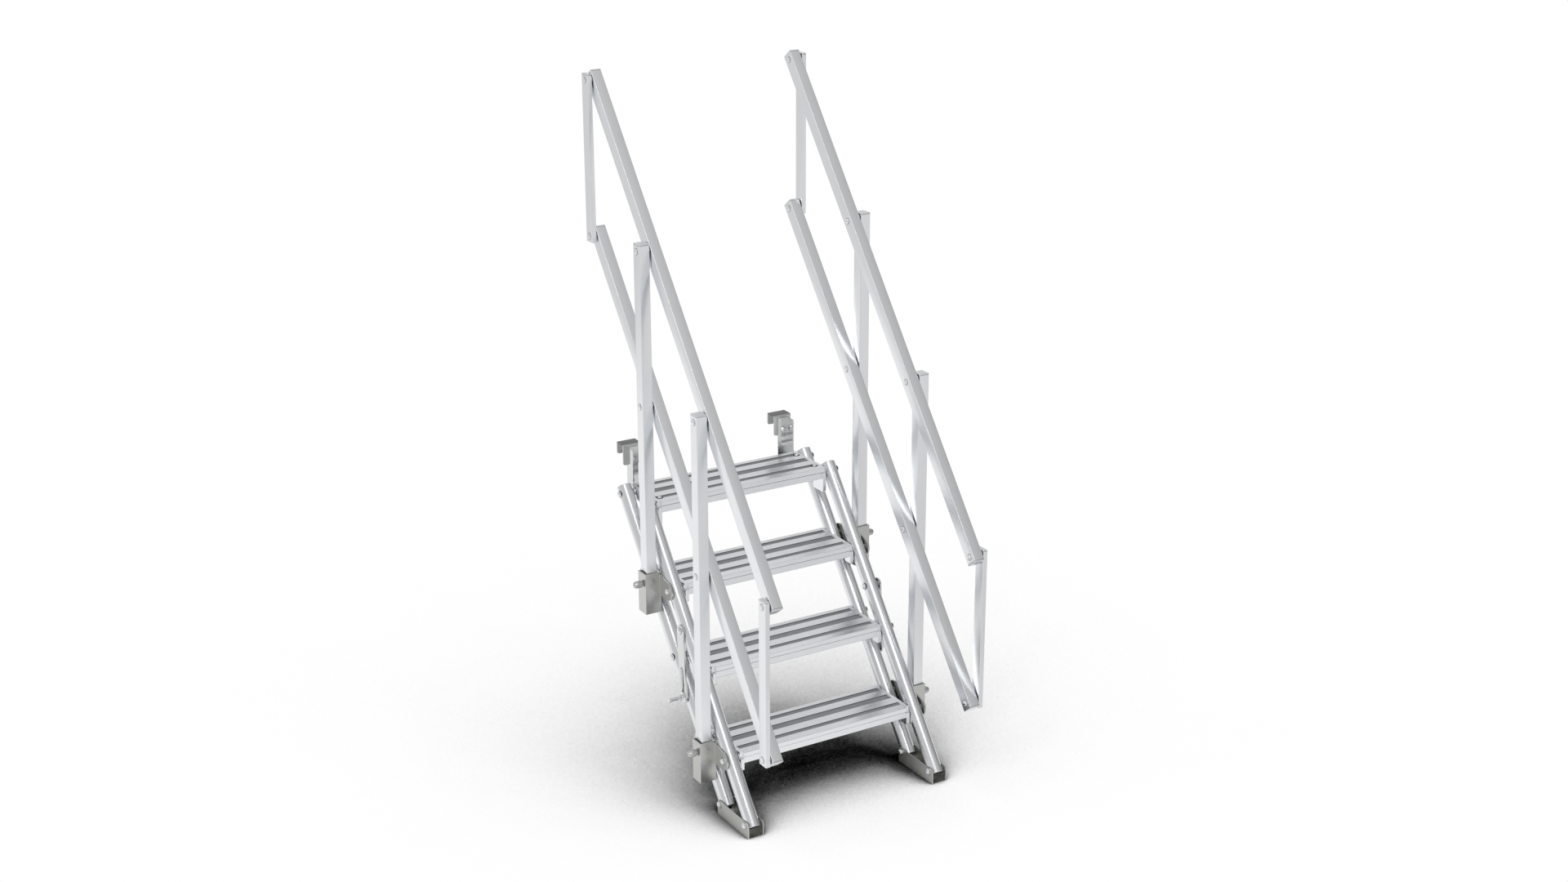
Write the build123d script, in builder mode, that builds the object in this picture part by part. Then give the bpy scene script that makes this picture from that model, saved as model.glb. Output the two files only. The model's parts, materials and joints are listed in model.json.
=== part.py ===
"""Folding access stair: four level treads between two pairs of tubes, with a folding guard each side.

Units are millimetres. X runs across the stair, Y runs in the climbing direction and Z is up.
The origin is the middle of the left hook's seat, the face that rests on the platform's edge.
"""
import os
from math import atan2, cos, degrees, hypot, sin

from build123d import *

os.makedirs("parts", exist_ok=True)

# Stair
rise = 225.0
going = 175.0
tread_count = 4
pivot_gap = 158.0
running_clearance = 0.1

# Treads
tread_length = 640.0
tread_height = 42.0
tread_skin = 3.0
tread_rib = 3.0
nose_ahead = 18.0
heel_behind = 20.0
pivot_below_top = 19.0
nose_lip_height = 18.0
nose_lip_step = 8.0
groove_depth = 3.0
front_groove_middle = 41.0
front_groove_width = 20.0
middle_groove_middle = 103.5
middle_groove_width = 31.0
rear_groove_middle = 165.0
rear_groove_width = 22.0
chamber_count = 4
tread_bracket_thickness = 12.0
lug_length = 34.0
lug_drop = 20.0
top_lug_length = 64.0
top_lug_drop = 45.0
lug_corner = 4.0

# Stringers
tube_diameter = 48.3
tube_wall = 3.2
tube_to_tread = 3.2
tube_above_top_pivot = 26.0
tube_below_foot_pin = 13.0
foot_pin_distance = 212.0

# Feet
foot_height = 52.0
foot_wall = 2.5
foot_side_gap = 0.5
foot_front_reach = 26.0
foot_rear_reach = 12.0
foot_pin_above_ground = 37.0
foot_corner = 12.0

# Socket brackets and posts
bracket_thickness = 5.0
bracket_gap = 0.6
bracket_lobe = 30.0
socket_wall = 4.0
socket_fit_across = 3.5
socket_fit_along = 1.0
socket_above_pivot = 49.0
socket_below_pivot = 89.0
socket_floor = 4.0
bracket_shoulder = 42.0
post_width = 36.0
post_depth = 40.0
post_wall = 2.5
post_cap = 3.0
post_corner = 2.0
post_behind_pivot = 76.0
clamp_below_socket_top = 38.0
clamp_radius = 12.0
clamp_length = 30.0
clamp_shank = 5.0

# Guards
handrail_above_pivot = 1109.0
rail_spacing = 500.0
rail_width = 36.0
rail_height = 44.0
rail_wall = 2.5
rail_gap = 3.0
rail_end_reach = 595.0
rail_overhang = 24.0
rail_cap = 2.5
rail_corner = 2.0
post_above_bolt = 24.0
bar_width = 16.0
bar_depth = 40.0
bar_wall = 2.0
bar_overhang = 20.0
bar_cap = 2.5
bar_corner = 1.5

# Bolts
bolt_radius = 6.0
bolt_head_radius = 10.0
bolt_head_height = 7.5
collar_radius = 11.0

# Lock links
lock_top_distance = 436.0
lock_bar_width = 40.0
lock_bar_thickness = 6.0
lock_bar_gap = 1.0
lock_slot_width = 19.0
lock_slot_travel = 92.0
lock_knob_radius = 11.0
lock_knob_length = 16.0
lock_handle_radius = 6.0
lock_handle_length = 40.0

# Hooks
hook_inset = 29.0
hook_width = 65.0
hook_throat = 38.0
hook_thickness = 5.0
hook_leg = 72.0
hook_lip = 43.0
seat_above_pivot = 139.0
seat_behind_tread = 66.0
upright_width = 40.0
upright_thickness = 4.0
shelf_thickness = 5.0
shelf_length = 150.0
hook_bolt_below_seat = 47.0
hook_bolt_radius = 4.0
hook_bolt_head_radius = 7.5
hook_bolt_head_height = 5.0

# Derived places
bolt_hole_radius = bolt_radius + running_clearance
pitch = hypot(rise, going)
slope = atan2(rise, going)
tread_depth = nose_ahead + pivot_gap + heel_behind
tube_radius = tube_diameter / 2
tube_x = tread_length / 2 + tube_to_tread + tube_radius
tube_outer_x = tube_x + tube_radius
tube_inner_x = tube_x - tube_radius
bracket_x = tube_outer_x + bracket_gap
post_inner_x = bracket_x + bracket_thickness + socket_wall + socket_fit_across
rail_x = post_inner_x - rail_gap - rail_width
seat_y_from_pivot = pivot_gap + heel_behind + seat_behind_tread
first_pivot_y = -seat_y_from_pivot - (tread_count - 1) * going
first_pivot_z = -seat_above_pivot - (tread_count - 1) * rise
hook_offset = tread_length / 2 - hook_inset
mid_x = hook_offset
grooves = [
    (front_groove_middle, front_groove_width),
    (middle_groove_middle, middle_groove_width),
    (rear_groove_middle, rear_groove_width),
]
lock_top_to_screw = hypot(pitch * cos(slope) - pivot_gap, pitch * sin(slope))
sides = {"left": -1, "right": 1}


def side_x(side, distance):
    """X of a place at a distance from the stair's middle plane, on one side."""
    return mid_x + sides[side] * distance


def front_point(distance):
    """Y and Z on the front stringer's axis, at a distance up it from tread 1's pivot."""
    return first_pivot_y + distance * cos(slope), first_pivot_z + distance * sin(slope)


def rear_point(distance):
    """Y and Z on the rear stringer's axis, level with the same point of the front one."""
    y, z = front_point(distance)
    return y + pivot_gap, z


def pivot(number):
    """Y and Z of a tread's front pivot, treads counted from the bottom."""
    return first_pivot_y + (number - 1) * going, first_pivot_z + (number - 1) * rise


def across(side, inner):
    """Plane facing outward on one side, whose local X is Y and local Y is Z, or mirrored."""
    return Plane(origin=(side_x(side, inner), 0, 0), x_dir=(0, sides[side], 0), z_dir=(sides[side], 0, 0))


def local(side, points):
    """Y and Z points in the local axes of an across plane."""
    return [(sides[side] * y, z) for y, z in points]


def save(piece, name):
    """Name one finished piece and write it."""
    piece.label = name
    export_step(piece, f"parts/{name}.step")


def bore(side, inner, outer, points, radius):
    """Cut round holes along X through what is being built, between two distances from the middle."""
    with BuildSketch(across(side, inner)) as holes:
        with Locations(*local(side, points)):
            Circle(radius)
    extrude(holes.sketch, amount=outer - inner, mode=Mode.SUBTRACT)


def shaft(side, inner, outer, points, radius):
    """Add round bars along X to what is being built, between two distances from the middle."""
    with BuildSketch(across(side, inner)) as rounds:
        with Locations(*local(side, points)):
            Circle(radius)
    extrude(rounds.sketch, amount=outer - inner)


def hex_heads(side, inner, outer, points, radius):
    """Add six-sided heads along X to what is being built."""
    with BuildSketch(across(side, inner)) as hexagons:
        with Locations(*local(side, points)):
            RegularPolygon(radius, 6)
    extrude(hexagons.sketch, amount=outer - inner)


def tread(number):
    """A hollow tread with a stepped nose, grooves on top and ribs inside."""
    y, z = pivot(number)
    nose = y - nose_ahead
    top = z + pivot_below_top
    half = tread_length / 2 - tread_bracket_thickness
    outline = [
        (nose, top), (nose + tread_depth, top), (nose + tread_depth, top - tread_height),
        (nose + nose_lip_step, top - tread_height), (nose + nose_lip_step, top - nose_lip_height),
        (nose, top - nose_lip_height),
    ]
    chamber_top = top - tread_skin - groove_depth
    chamber_height = tread_height - 2 * tread_skin - groove_depth
    chamber_start = nose + nose_lip_step + tread_skin
    chamber_end = nose + tread_depth - tread_skin
    chamber = (chamber_end - chamber_start - (chamber_count - 1) * tread_rib) / chamber_count
    with BuildPart() as board:
        with BuildSketch(Plane.YZ.offset(mid_x)):
            with BuildLine():
                Polyline(*outline, close=True)
            make_face()
            for middle, width in grooves:
                with Locations((nose + middle, top - groove_depth / 2)):
                    Rectangle(width, groove_depth, mode=Mode.SUBTRACT)
            for index in range(chamber_count):
                start = chamber_start + index * (chamber + tread_rib)
                with Locations((start + chamber / 2, chamber_top - chamber_height / 2)):
                    Rectangle(chamber, chamber_height, mode=Mode.SUBTRACT)
        extrude(amount=half, both=True)
    return board.part


def tread_brackets(number):
    """The end plates that close a tread and take its pivot bolts, with a lug below the front pivot."""
    y, z = pivot(number)
    nose = y - nose_ahead
    top = z + pivot_below_top
    inner = tread_length / 2 - tread_bracket_thickness
    is_top = number == tread_count
    length, drop = (top_lug_length, top_lug_drop) if is_top else (lug_length, lug_drop)
    plate_middle = (nose + (tread_depth + nose_lip_step) / 2, top - tread_height / 2)
    lug_height = drop + tread_height / 2
    lug_middle = (nose + length / 2, top - tread_height / 2 - lug_height / 2)
    with BuildPart() as plates:
        for side in sides:
            with BuildSketch(across(side, inner)) as outline:
                with Locations(*local(side, [plate_middle])):
                    Rectangle(tread_depth - nose_lip_step, tread_height)
                with Locations(*local(side, [lug_middle])):
                    Rectangle(length, lug_height)
                fillet(outline.vertices().group_by(Axis.Y)[0], lug_corner)
            extrude(amount=tread_bracket_thickness)
            bore(side, inner, tread_length / 2, [(y, z), (y + pivot_gap, z)], bolt_hole_radius)
    return plates.part


def stringer(side, lane_point):
    """One round tube, bored for its pivot bolts."""
    y, z = lane_point(-foot_pin_distance - tube_below_foot_pin)
    length = tube_below_foot_pin + foot_pin_distance + (tread_count - 1) * pitch + tube_above_top_pivot
    axis = Plane(origin=(side_x(side, tube_x), y, z), x_dir=(1, 0, 0), z_dir=(0, cos(slope), sin(slope)))
    holes = [lane_point(-foot_pin_distance)] + [lane_point(index * pitch) for index in range(tread_count)]
    holes.append(lane_point(lock_distance(lane_point)))
    with BuildPart() as tube:
        with BuildSketch(axis):
            Circle(tube_radius)
            Circle(tube_radius - tube_wall, mode=Mode.SUBTRACT)
        extrude(amount=length)
        bore(side, tube_inner_x, tube_outer_x, holes, bolt_radius)
    return tube.part


def lock_distance(lane_point):
    """Where the lock link meets a stringer: its top bolt in front, its screw one pitch lower behind."""
    return lock_top_distance if lane_point is front_point else lock_top_distance - pitch


def foot(side):
    """An open-topped channel that both stringers are pinned in."""
    y, z = front_point(-foot_pin_distance)
    front = y - foot_front_reach
    length = foot_front_reach + pivot_gap + foot_rear_reach
    ground = z - foot_pin_above_ground
    half = tube_radius + foot_side_gap + foot_wall
    outline = [(front, ground), (front + length, ground), (front + length, ground + foot_height),
               (front, ground + foot_height)]
    with BuildPart() as channel:
        with BuildSketch(across(side, tube_x)):
            with BuildLine():
                Polyline(*local(side, outline), close=True)
            make_face()
        extrude(amount=half, both=True)
        corners = channel.edges().filter_by(Axis.X).group_by(Axis.Z)[-1]
        fillet(corners, foot_corner)
        with BuildSketch(Plane.XY.offset(ground + foot_wall)):
            with Locations((side_x(side, tube_x), front + length / 2)):
                Rectangle(2 * (half - foot_wall), length)
        extrude(amount=foot_height, mode=Mode.SUBTRACT)
        bore(side, tube_x - half, tube_x + half, [(y, z), (y + pivot_gap, z)], bolt_hole_radius)
    return channel.part


def socket_bracket(side, number):
    """A plate pinned to both stringers, with the square tube on it that a post stands in."""
    y, z = pivot(number)
    post_y = y + post_behind_pivot
    hole_width = post_width + 2 * socket_fit_across
    hole_depth = post_depth + 2 * socket_fit_along
    box_width = hole_width + 2 * socket_wall
    box_depth = hole_depth + 2 * socket_wall
    height = socket_above_pivot + socket_below_pivot
    bottom = z - socket_below_pivot
    middle = (side_x(side, post_inner_x + post_width / 2), post_y)
    with BuildPart() as bracket:
        with BuildSketch(across(side, bracket_x)):
            with Locations(*local(side, [(y, z), (y + pivot_gap, z)])):
                Circle(bracket_lobe)
            with Locations(*local(side, [(post_y, z + bracket_shoulder / 2)])):
                Rectangle(box_depth, bracket_shoulder)
            make_hull()
            with Locations(*local(side, [(post_y, bottom + height / 2)])):
                Rectangle(box_depth, height)
        extrude(amount=bracket_thickness)
        with BuildSketch(Plane.XY.offset(bottom)):
            with Locations(middle):
                Rectangle(box_width, box_depth)
        extrude(amount=height)
        with BuildSketch(Plane.XY.offset(bottom + socket_floor)):
            with Locations(middle):
                Rectangle(hole_width, hole_depth)
        extrude(amount=height, mode=Mode.SUBTRACT)
        bore(side, bracket_x, bracket_x + bracket_thickness, [(y, z), (y + pivot_gap, z)],
             bolt_hole_radius)
        outer = post_inner_x + post_width + socket_fit_across + socket_wall
        knob_z = z + socket_above_pivot - clamp_below_socket_top
        bore(side, outer - 2 * socket_wall, outer, [(post_y, knob_z)], clamp_shank)
    return bracket.part


def clamp_screws(number):
    """The round-headed screws that clamp a pair of posts in their sockets."""
    y, z = pivot(number)
    place = [(y + post_behind_pivot, z + socket_above_pivot - clamp_below_socket_top)]
    post_outer_x = post_inner_x + post_width
    socket_outer_x = post_outer_x + socket_fit_across + socket_wall
    with BuildPart() as screws:
        for side in sides:
            shaft(side, post_outer_x, socket_outer_x, place, clamp_shank)
            shaft(side, socket_outer_x, socket_outer_x + clamp_length, place, clamp_radius)
    return screws.part


def rail_pivots(number):
    """Y and Z of the handrail's and the knee rail's bolts on a post."""
    y, z = pivot(number)
    top = z + handrail_above_pivot
    return [(y + post_behind_pivot, top), (y + post_behind_pivot, top - rail_spacing)]


def post(side, number):
    """A rectangular tube with a closed cap, standing in its socket."""
    y, z = pivot(number)
    bottom = z - socket_below_pivot + socket_floor
    height = z + handrail_above_pivot + post_above_bolt - bottom
    centre = (side_x(side, post_inner_x + post_width / 2), y + post_behind_pivot)
    with BuildPart() as tube:
        with BuildSketch(Plane.XY.offset(bottom)):
            with Locations(centre):
                RectangleRounded(post_width, post_depth, post_corner)
        extrude(amount=height)
        with BuildSketch(Plane.XY.offset(bottom)):
            with Locations(centre):
                Rectangle(post_width - 2 * post_wall, post_depth - 2 * post_wall)
        extrude(amount=height - post_cap, mode=Mode.SUBTRACT)
        bore(side, post_inner_x, post_inner_x + post_width, rail_pivots(number), bolt_hole_radius)
    return tube.part


def rail(side, level):
    """A rectangular tube parallel to the stringers, inside the posts."""
    y, z = rail_pivots(1)[level]
    low = rail_end_reach + rail_overhang
    start = (side_x(side, rail_x + rail_width / 2), y - low * cos(slope), z - low * sin(slope))
    length = 2 * low + 2 * pitch
    axis = Plane(origin=start, x_dir=(1, 0, 0), z_dir=(0, cos(slope), sin(slope)))
    with BuildPart() as tube:
        with BuildSketch(axis):
            RectangleRounded(rail_width, rail_height, rail_corner)
        extrude(amount=length)
        with BuildSketch(axis.offset(rail_cap)):
            Rectangle(rail_width - 2 * rail_wall, rail_height - 2 * rail_wall)
        extrude(amount=length - 2 * rail_cap, mode=Mode.SUBTRACT)
        bore(side, rail_x, rail_x + rail_width, all_rail_pivots(level), bolt_radius)
    return tube.part


def end_pivot(end, level):
    """Y and Z of an end bar's bolt: beyond the upper post or the lower one."""
    y, z = rail_pivots(3 if end == "upper" else 1)[level]
    reach = rail_end_reach if end == "upper" else -rail_end_reach
    return y + reach * cos(slope), z + reach * sin(slope)


def all_rail_pivots(level):
    """Every bolt along one rail, from the bottom up."""
    posts = [rail_pivots(1)[level], rail_pivots(3)[level]]
    return [end_pivot("lower", level), *posts, end_pivot("upper", level)]


def end_bar(side, end):
    """An upright flat tube that joins the two rails beyond the posts."""
    y, top = end_pivot(end, 0)
    bottom = end_pivot(end, 1)[1]
    centre = (side_x(side, post_inner_x + bar_width / 2), y)
    height = top - bottom + 2 * bar_overhang
    with BuildPart() as bar:
        with BuildSketch(Plane.XY.offset(bottom - bar_overhang)):
            with Locations(centre):
                RectangleRounded(bar_width, bar_depth, bar_corner)
        extrude(amount=height)
        with BuildSketch(Plane.XY.offset(bottom - bar_overhang + bar_cap)):
            with Locations(centre):
                Rectangle(bar_width - 2 * bar_wall, bar_depth - 2 * bar_wall)
        extrude(amount=height - 2 * bar_cap, mode=Mode.SUBTRACT)
        bore(side, post_inner_x, post_inner_x + bar_width, [(y, top), (y, bottom)], bolt_hole_radius)
    return bar.part


def pivot_bolts(lane_point):
    """One stringer lane's shoulder bolts: at the treads, at the socket brackets and in the feet."""
    inner = tread_length / 2 - tread_bracket_thickness
    plain = [lane_point(index * pitch) for index in (1, 3)]
    bracketed = [lane_point(index * pitch) for index in (0, 2)]
    foot_pin = [lane_point(-foot_pin_distance)]
    foot_half = tube_radius + foot_side_gap + foot_wall
    with BuildPart() as bolts:
        for side in sides:
            shaft(side, inner, tube_outer_x, plain + bracketed, bolt_radius)
            shaft(side, tread_length / 2, tube_inner_x, plain + bracketed, collar_radius)
            hex_heads(side, tube_outer_x, tube_outer_x + bolt_head_height, plain, bolt_head_radius)
            outer = bracket_x + bracket_thickness
            shaft(side, tube_outer_x, bracket_x, bracketed, collar_radius)
            shaft(side, bracket_x, outer, bracketed, bolt_radius)
            hex_heads(side, outer, outer + bolt_head_height, bracketed, bolt_head_radius)
            shaft(side, tube_x - foot_half, tube_x + foot_half, foot_pin, bolt_radius)
            for start in (tube_x + foot_half, tube_x - foot_half - bolt_head_height):
                hex_heads(side, start, start + bolt_head_height, foot_pin, bolt_head_radius)
    return bolts.part


def rail_bolts(level):
    """The bolts that pin one pair of rails to the posts and the end bars."""
    ends = [end_pivot("lower", level), end_pivot("upper", level)]
    posts = [rail_pivots(1)[level], rail_pivots(3)[level]]
    rail_outer = rail_x + rail_width
    with BuildPart() as bolts:
        for side in sides:
            shaft(side, rail_x, post_inner_x, ends + posts, bolt_radius)
            shaft(side, rail_outer, post_inner_x, ends + posts, collar_radius)
            hex_heads(side, rail_x - bolt_head_height / 2, rail_x, ends + posts, bolt_head_radius)
            for places, thickness in ((ends, bar_width), (posts, post_width)):
                outer = post_inner_x + thickness
                shaft(side, post_inner_x, outer, places, bolt_radius)
                hex_heads(side, outer, outer + bolt_head_height / 2, places, bolt_head_radius)
    return bolts.part


def lock_link(side):
    """A slotted flat bar that hangs from the front stringer and is clamped to the rear one."""
    top = front_point(lock_top_distance)
    screw = rear_point(lock_top_distance - pitch)
    lean = degrees(atan2(top[1] - screw[1], sides[side] * (top[0] - screw[0])))
    inner = tube_outer_x + lock_bar_gap
    centre = ((top[0] + screw[0]) / 2, (top[1] + screw[1]) / 2)
    with BuildPart() as bar:
        with BuildSketch(across(side, inner)):
            with Locations(*local(side, [centre])):
                SlotCenterToCenter(lock_top_to_screw, lock_bar_width, rotation=lean)
            share = lock_slot_travel / 2 / lock_top_to_screw
            slot = (screw[0] + (top[0] - screw[0]) * share, screw[1] + (top[1] - screw[1]) * share)
            with Locations(*local(side, [slot])):
                SlotCenterToCenter(lock_slot_travel, lock_slot_width, rotation=lean, mode=Mode.SUBTRACT)
            with Locations(*local(side, [top])):
                Circle(bolt_hole_radius, mode=Mode.SUBTRACT)
        extrude(amount=lock_bar_thickness)
    return bar.part


def lock_bolts():
    """The bolts that the lock links hang from, on the front stringers."""
    place = [front_point(lock_top_distance)]
    link_inner = tube_outer_x + lock_bar_gap
    link_outer = link_inner + lock_bar_thickness
    with BuildPart() as bolts:
        for side in sides:
            shaft(side, tube_inner_x, link_outer, place, bolt_radius)
            shaft(side, tube_outer_x, link_inner, place, collar_radius)
            hex_heads(side, tube_inner_x - bolt_head_height, tube_inner_x, place, bolt_head_radius)
            hex_heads(side, link_outer, link_outer + bolt_head_height, place, bolt_head_radius)
    return bolts.part


def lock_screws():
    """The clamp screws with their knobs and stub handles, on the rear stringers."""
    place = rear_point(lock_top_distance - pitch)
    link_inner = tube_outer_x + lock_bar_gap
    link_outer = link_inner + lock_bar_thickness
    knob_end = link_outer + lock_knob_length
    with BuildPart() as screws:
        for side in sides:
            shaft(side, tube_inner_x, link_outer, [place], bolt_radius)
            shaft(side, tube_outer_x, link_inner, [place], lock_slot_width / 2)
            shaft(side, link_outer, knob_end, [place], lock_knob_radius)
            shaft(side, knob_end, knob_end + lock_handle_length, [place], lock_handle_radius)
    return screws.part


def hook_frame(side):
    """An angle upright behind the top tread, on a shelf under the tread's end."""
    y, z = pivot(tread_count)
    shelf_top = z + pivot_below_top - tread_height
    heel = y + pivot_gap + heel_behind
    web_back = seat_front_y() - hook_thickness
    outer = hook_offset + upright_width / 2
    top = -hook_thickness
    with BuildPart() as frame:
        with BuildSketch(Plane.XY.offset(shelf_top - shelf_thickness)):
            with Locations((side_x(side, outer - upright_thickness / 2), (heel + web_back) / 2)):
                Rectangle(upright_thickness, web_back - heel)
            with Locations((side_x(side, hook_offset), web_back - upright_thickness / 2)):
                Rectangle(upright_width, upright_thickness)
        extrude(amount=top - shelf_top + shelf_thickness)
        with BuildSketch(Plane.XY.offset(shelf_top - shelf_thickness)):
            with Locations((side_x(side, hook_offset), web_back - shelf_length / 2)):
                Rectangle(upright_width, shelf_length)
        extrude(amount=shelf_thickness)
        bolt_hole(side, web_back - upright_thickness, web_back)
    return frame.part


def seat_front_y():
    """Y of the hook's front leg's rear face, one side of the throat."""
    return -hook_throat / 2


def bolt_hole(side, start, end):
    """Cut the hook bolt's hole along Y through what is being built."""
    with BuildSketch(hook_bolt_plane(side, start)) as hole:
        Circle(hook_bolt_radius)
    extrude(hole.sketch, amount=end - start, mode=Mode.SUBTRACT)


def hook_bolt_plane(side, y):
    """Plane across the hook bolt's axis at a place along it, facing the platform."""
    origin = (side_x(side, hook_offset), y, -hook_bolt_below_seat)
    return Plane(origin=origin, x_dir=(-1, 0, 0), z_dir=(0, 1, 0))


def hook_bolts():
    """The bolts that hold each hook's front leg to its upright."""
    leg_back = seat_front_y()
    web_front = leg_back - hook_thickness - upright_thickness
    with BuildPart() as bolts:
        for side in sides:
            with BuildSketch(hook_bolt_plane(side, web_front)):
                Circle(hook_bolt_radius)
            extrude(amount=leg_back - web_front)
            with BuildSketch(hook_bolt_plane(side, web_front - hook_bolt_head_height)):
                RegularPolygon(hook_bolt_head_radius, 6)
            extrude(amount=hook_bolt_head_height)
    return bolts.part


def hook(side):
    """An upside-down channel bent from plate, whose top rests on the platform's edge."""
    front = seat_front_y() - hook_thickness
    back = hook_throat / 2 + hook_thickness
    outline = [
        (front, hook_thickness), (back, hook_thickness), (back, hook_thickness - hook_lip),
        (back - hook_thickness, hook_thickness - hook_lip), (back - hook_thickness, 0),
        (front + hook_thickness, 0), (front + hook_thickness, hook_thickness - hook_leg),
        (front, hook_thickness - hook_leg),
    ]
    with BuildPart() as bent:
        with BuildSketch(across(side, hook_offset)):
            with BuildLine():
                Polyline(*local(side, outline), close=True)
            make_face()
        extrude(amount=hook_width / 2, both=True)
        bolt_hole(side, front, front + hook_thickness)
    return bent.part


for number in range(1, tread_count + 1):
    save(tread(number), f"tread_{number}")
    save(tread_brackets(number), f"tread_{number}_brackets")
for side in sides:
    save(stringer(side, front_point), f"{side}_front_stringer")
    save(stringer(side, rear_point), f"{side}_rear_stringer")
    save(foot(side), f"{side}_foot")
    save(rail(side, 0), f"{side}_handrail")
    save(rail(side, 1), f"{side}_knee_rail")
    save(lock_link(side), f"{side}_lock_link")
    save(hook_frame(side), f"{side}_hook_frame")
    save(hook(side), f"{side}_hook")
    for end, number in (("lower", 1), ("upper", 3)):
        save(socket_bracket(side, number), f"{side}_{end}_socket")
        save(post(side, number), f"{side}_{end}_post")
        save(end_bar(side, end), f"{side}_{end}_end_bar")
save(clamp_screws(1), "lower_clamp_screws")
save(clamp_screws(3), "upper_clamp_screws")
save(pivot_bolts(front_point), "front_pivot_bolts")
save(pivot_bolts(rear_point), "rear_pivot_bolts")
save(rail_bolts(0), "handrail_bolts")
save(rail_bolts(1), "knee_rail_bolts")
save(lock_bolts(), "lock_bolts")
save(lock_screws(), "lock_screws")
save(hook_bolts(), "hook_bolts")
print("slope", round(degrees(slope), 3), "pitch", round(pitch, 2), "link", round(lock_top_to_screw, 2))
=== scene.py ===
"""Looks of a folding access stair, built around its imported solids.

Every length is in metres. X runs across the stair, Y runs in the climbing direction and Z is up.
"""

import json
import logging
import math
from dataclasses import dataclass
from enum import Enum

import bmesh
import bpy
from mathutils import Matrix, Vector

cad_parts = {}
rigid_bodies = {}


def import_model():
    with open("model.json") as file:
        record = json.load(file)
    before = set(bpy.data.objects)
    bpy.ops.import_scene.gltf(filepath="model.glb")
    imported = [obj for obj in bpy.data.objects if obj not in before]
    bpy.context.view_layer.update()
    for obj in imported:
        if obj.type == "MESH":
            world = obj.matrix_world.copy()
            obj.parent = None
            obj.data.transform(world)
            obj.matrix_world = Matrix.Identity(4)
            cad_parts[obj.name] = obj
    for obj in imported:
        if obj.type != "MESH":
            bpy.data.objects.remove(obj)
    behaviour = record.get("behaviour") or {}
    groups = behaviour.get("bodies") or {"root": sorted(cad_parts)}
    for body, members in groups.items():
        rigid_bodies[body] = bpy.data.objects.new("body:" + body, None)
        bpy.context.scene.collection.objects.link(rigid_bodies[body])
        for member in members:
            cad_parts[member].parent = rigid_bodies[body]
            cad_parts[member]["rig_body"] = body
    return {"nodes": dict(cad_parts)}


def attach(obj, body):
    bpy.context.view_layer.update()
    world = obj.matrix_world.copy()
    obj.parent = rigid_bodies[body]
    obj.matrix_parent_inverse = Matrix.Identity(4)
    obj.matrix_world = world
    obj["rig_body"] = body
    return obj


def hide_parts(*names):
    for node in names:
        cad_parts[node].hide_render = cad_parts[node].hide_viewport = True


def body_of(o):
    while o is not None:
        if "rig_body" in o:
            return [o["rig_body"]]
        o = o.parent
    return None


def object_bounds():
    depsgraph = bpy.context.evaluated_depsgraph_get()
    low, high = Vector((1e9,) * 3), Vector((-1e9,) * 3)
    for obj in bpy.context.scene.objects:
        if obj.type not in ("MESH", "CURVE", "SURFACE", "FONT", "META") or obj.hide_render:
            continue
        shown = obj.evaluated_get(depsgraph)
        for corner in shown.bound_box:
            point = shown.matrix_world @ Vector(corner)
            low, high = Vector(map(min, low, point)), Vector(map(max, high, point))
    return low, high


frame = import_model()
cad_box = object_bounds()

log = logging.getLogger("access_stair")

Pair = tuple[float, float]
Triple = tuple[float, float, float]
Profile = tuple[Pair, ...] | list[Pair]
Stations = list[tuple[float, float, int]]
Socket = bpy.types.NodeSocket
Outputs = bpy.types.NodeOutputs
Material = bpy.types.Material

UP = Vector((0.0, 0.0, 1.0))
ACROSS = Vector((1.0, 0.0, 0.0))
# The Mix node has inputs of the same name for each kind of value, so its colour ones go by number.
MIX_INPUTS, MIX_RESULT = (0, 6, 7), 2
HEXAGON, PIN_POINTS, HEAD_POINTS = 6, 28, 32


def srgb(value: float) -> float:
    """Turn one sRGB level from 0 to 255 into the linear value that renders as it."""
    level = value / 255.0
    return level / 12.92 if level <= 0.04045 else ((level + 0.055) / 1.055) ** 2.4


def tone(red: float, green: float, blue: float) -> Triple:
    """Turn three sRGB levels into a linear colour."""
    return srgb(red), srgb(green), srgb(blue)


class Named(Enum):
    """A choice whose options give the words in the nodes' names."""

    @property
    def label(self) -> str:
        """The option's word."""
        return self.name.lower()


class Side(Named):
    """The two halves of the stair, with the sign of their outward X direction."""

    LEFT = -1
    RIGHT = 1

    @property
    def out(self) -> Vector:
        """The direction out of the stair."""
        return Vector((self.value, 0.0, 0.0))


class Lane(Named):
    """The two lanes of stringers, with the pivot gaps from the front one."""

    FRONT = 0
    REAR = 1


class End(Named):
    """The two ends of a guard, with the number of the tread that carries the post."""

    LOWER = 1
    UPPER = 3

    @property
    def sense(self) -> int:
        """The sign of the way from the post to the end bar."""
        return self.value - 2


class Level(Named):
    """The two rails of a guard, with the rail spacings below the upper one."""

    HANDRAIL = 0
    KNEE_RAIL = 1


class Axis(Enum):
    """The direction that a piece was drawn or brushed along."""

    ACROSS = (1.0, 0.0, 0.0)
    SLOPE = (0.0, 0.614, 0.789)
    UPRIGHT = (0.0, 0.0, 1.0)


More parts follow.
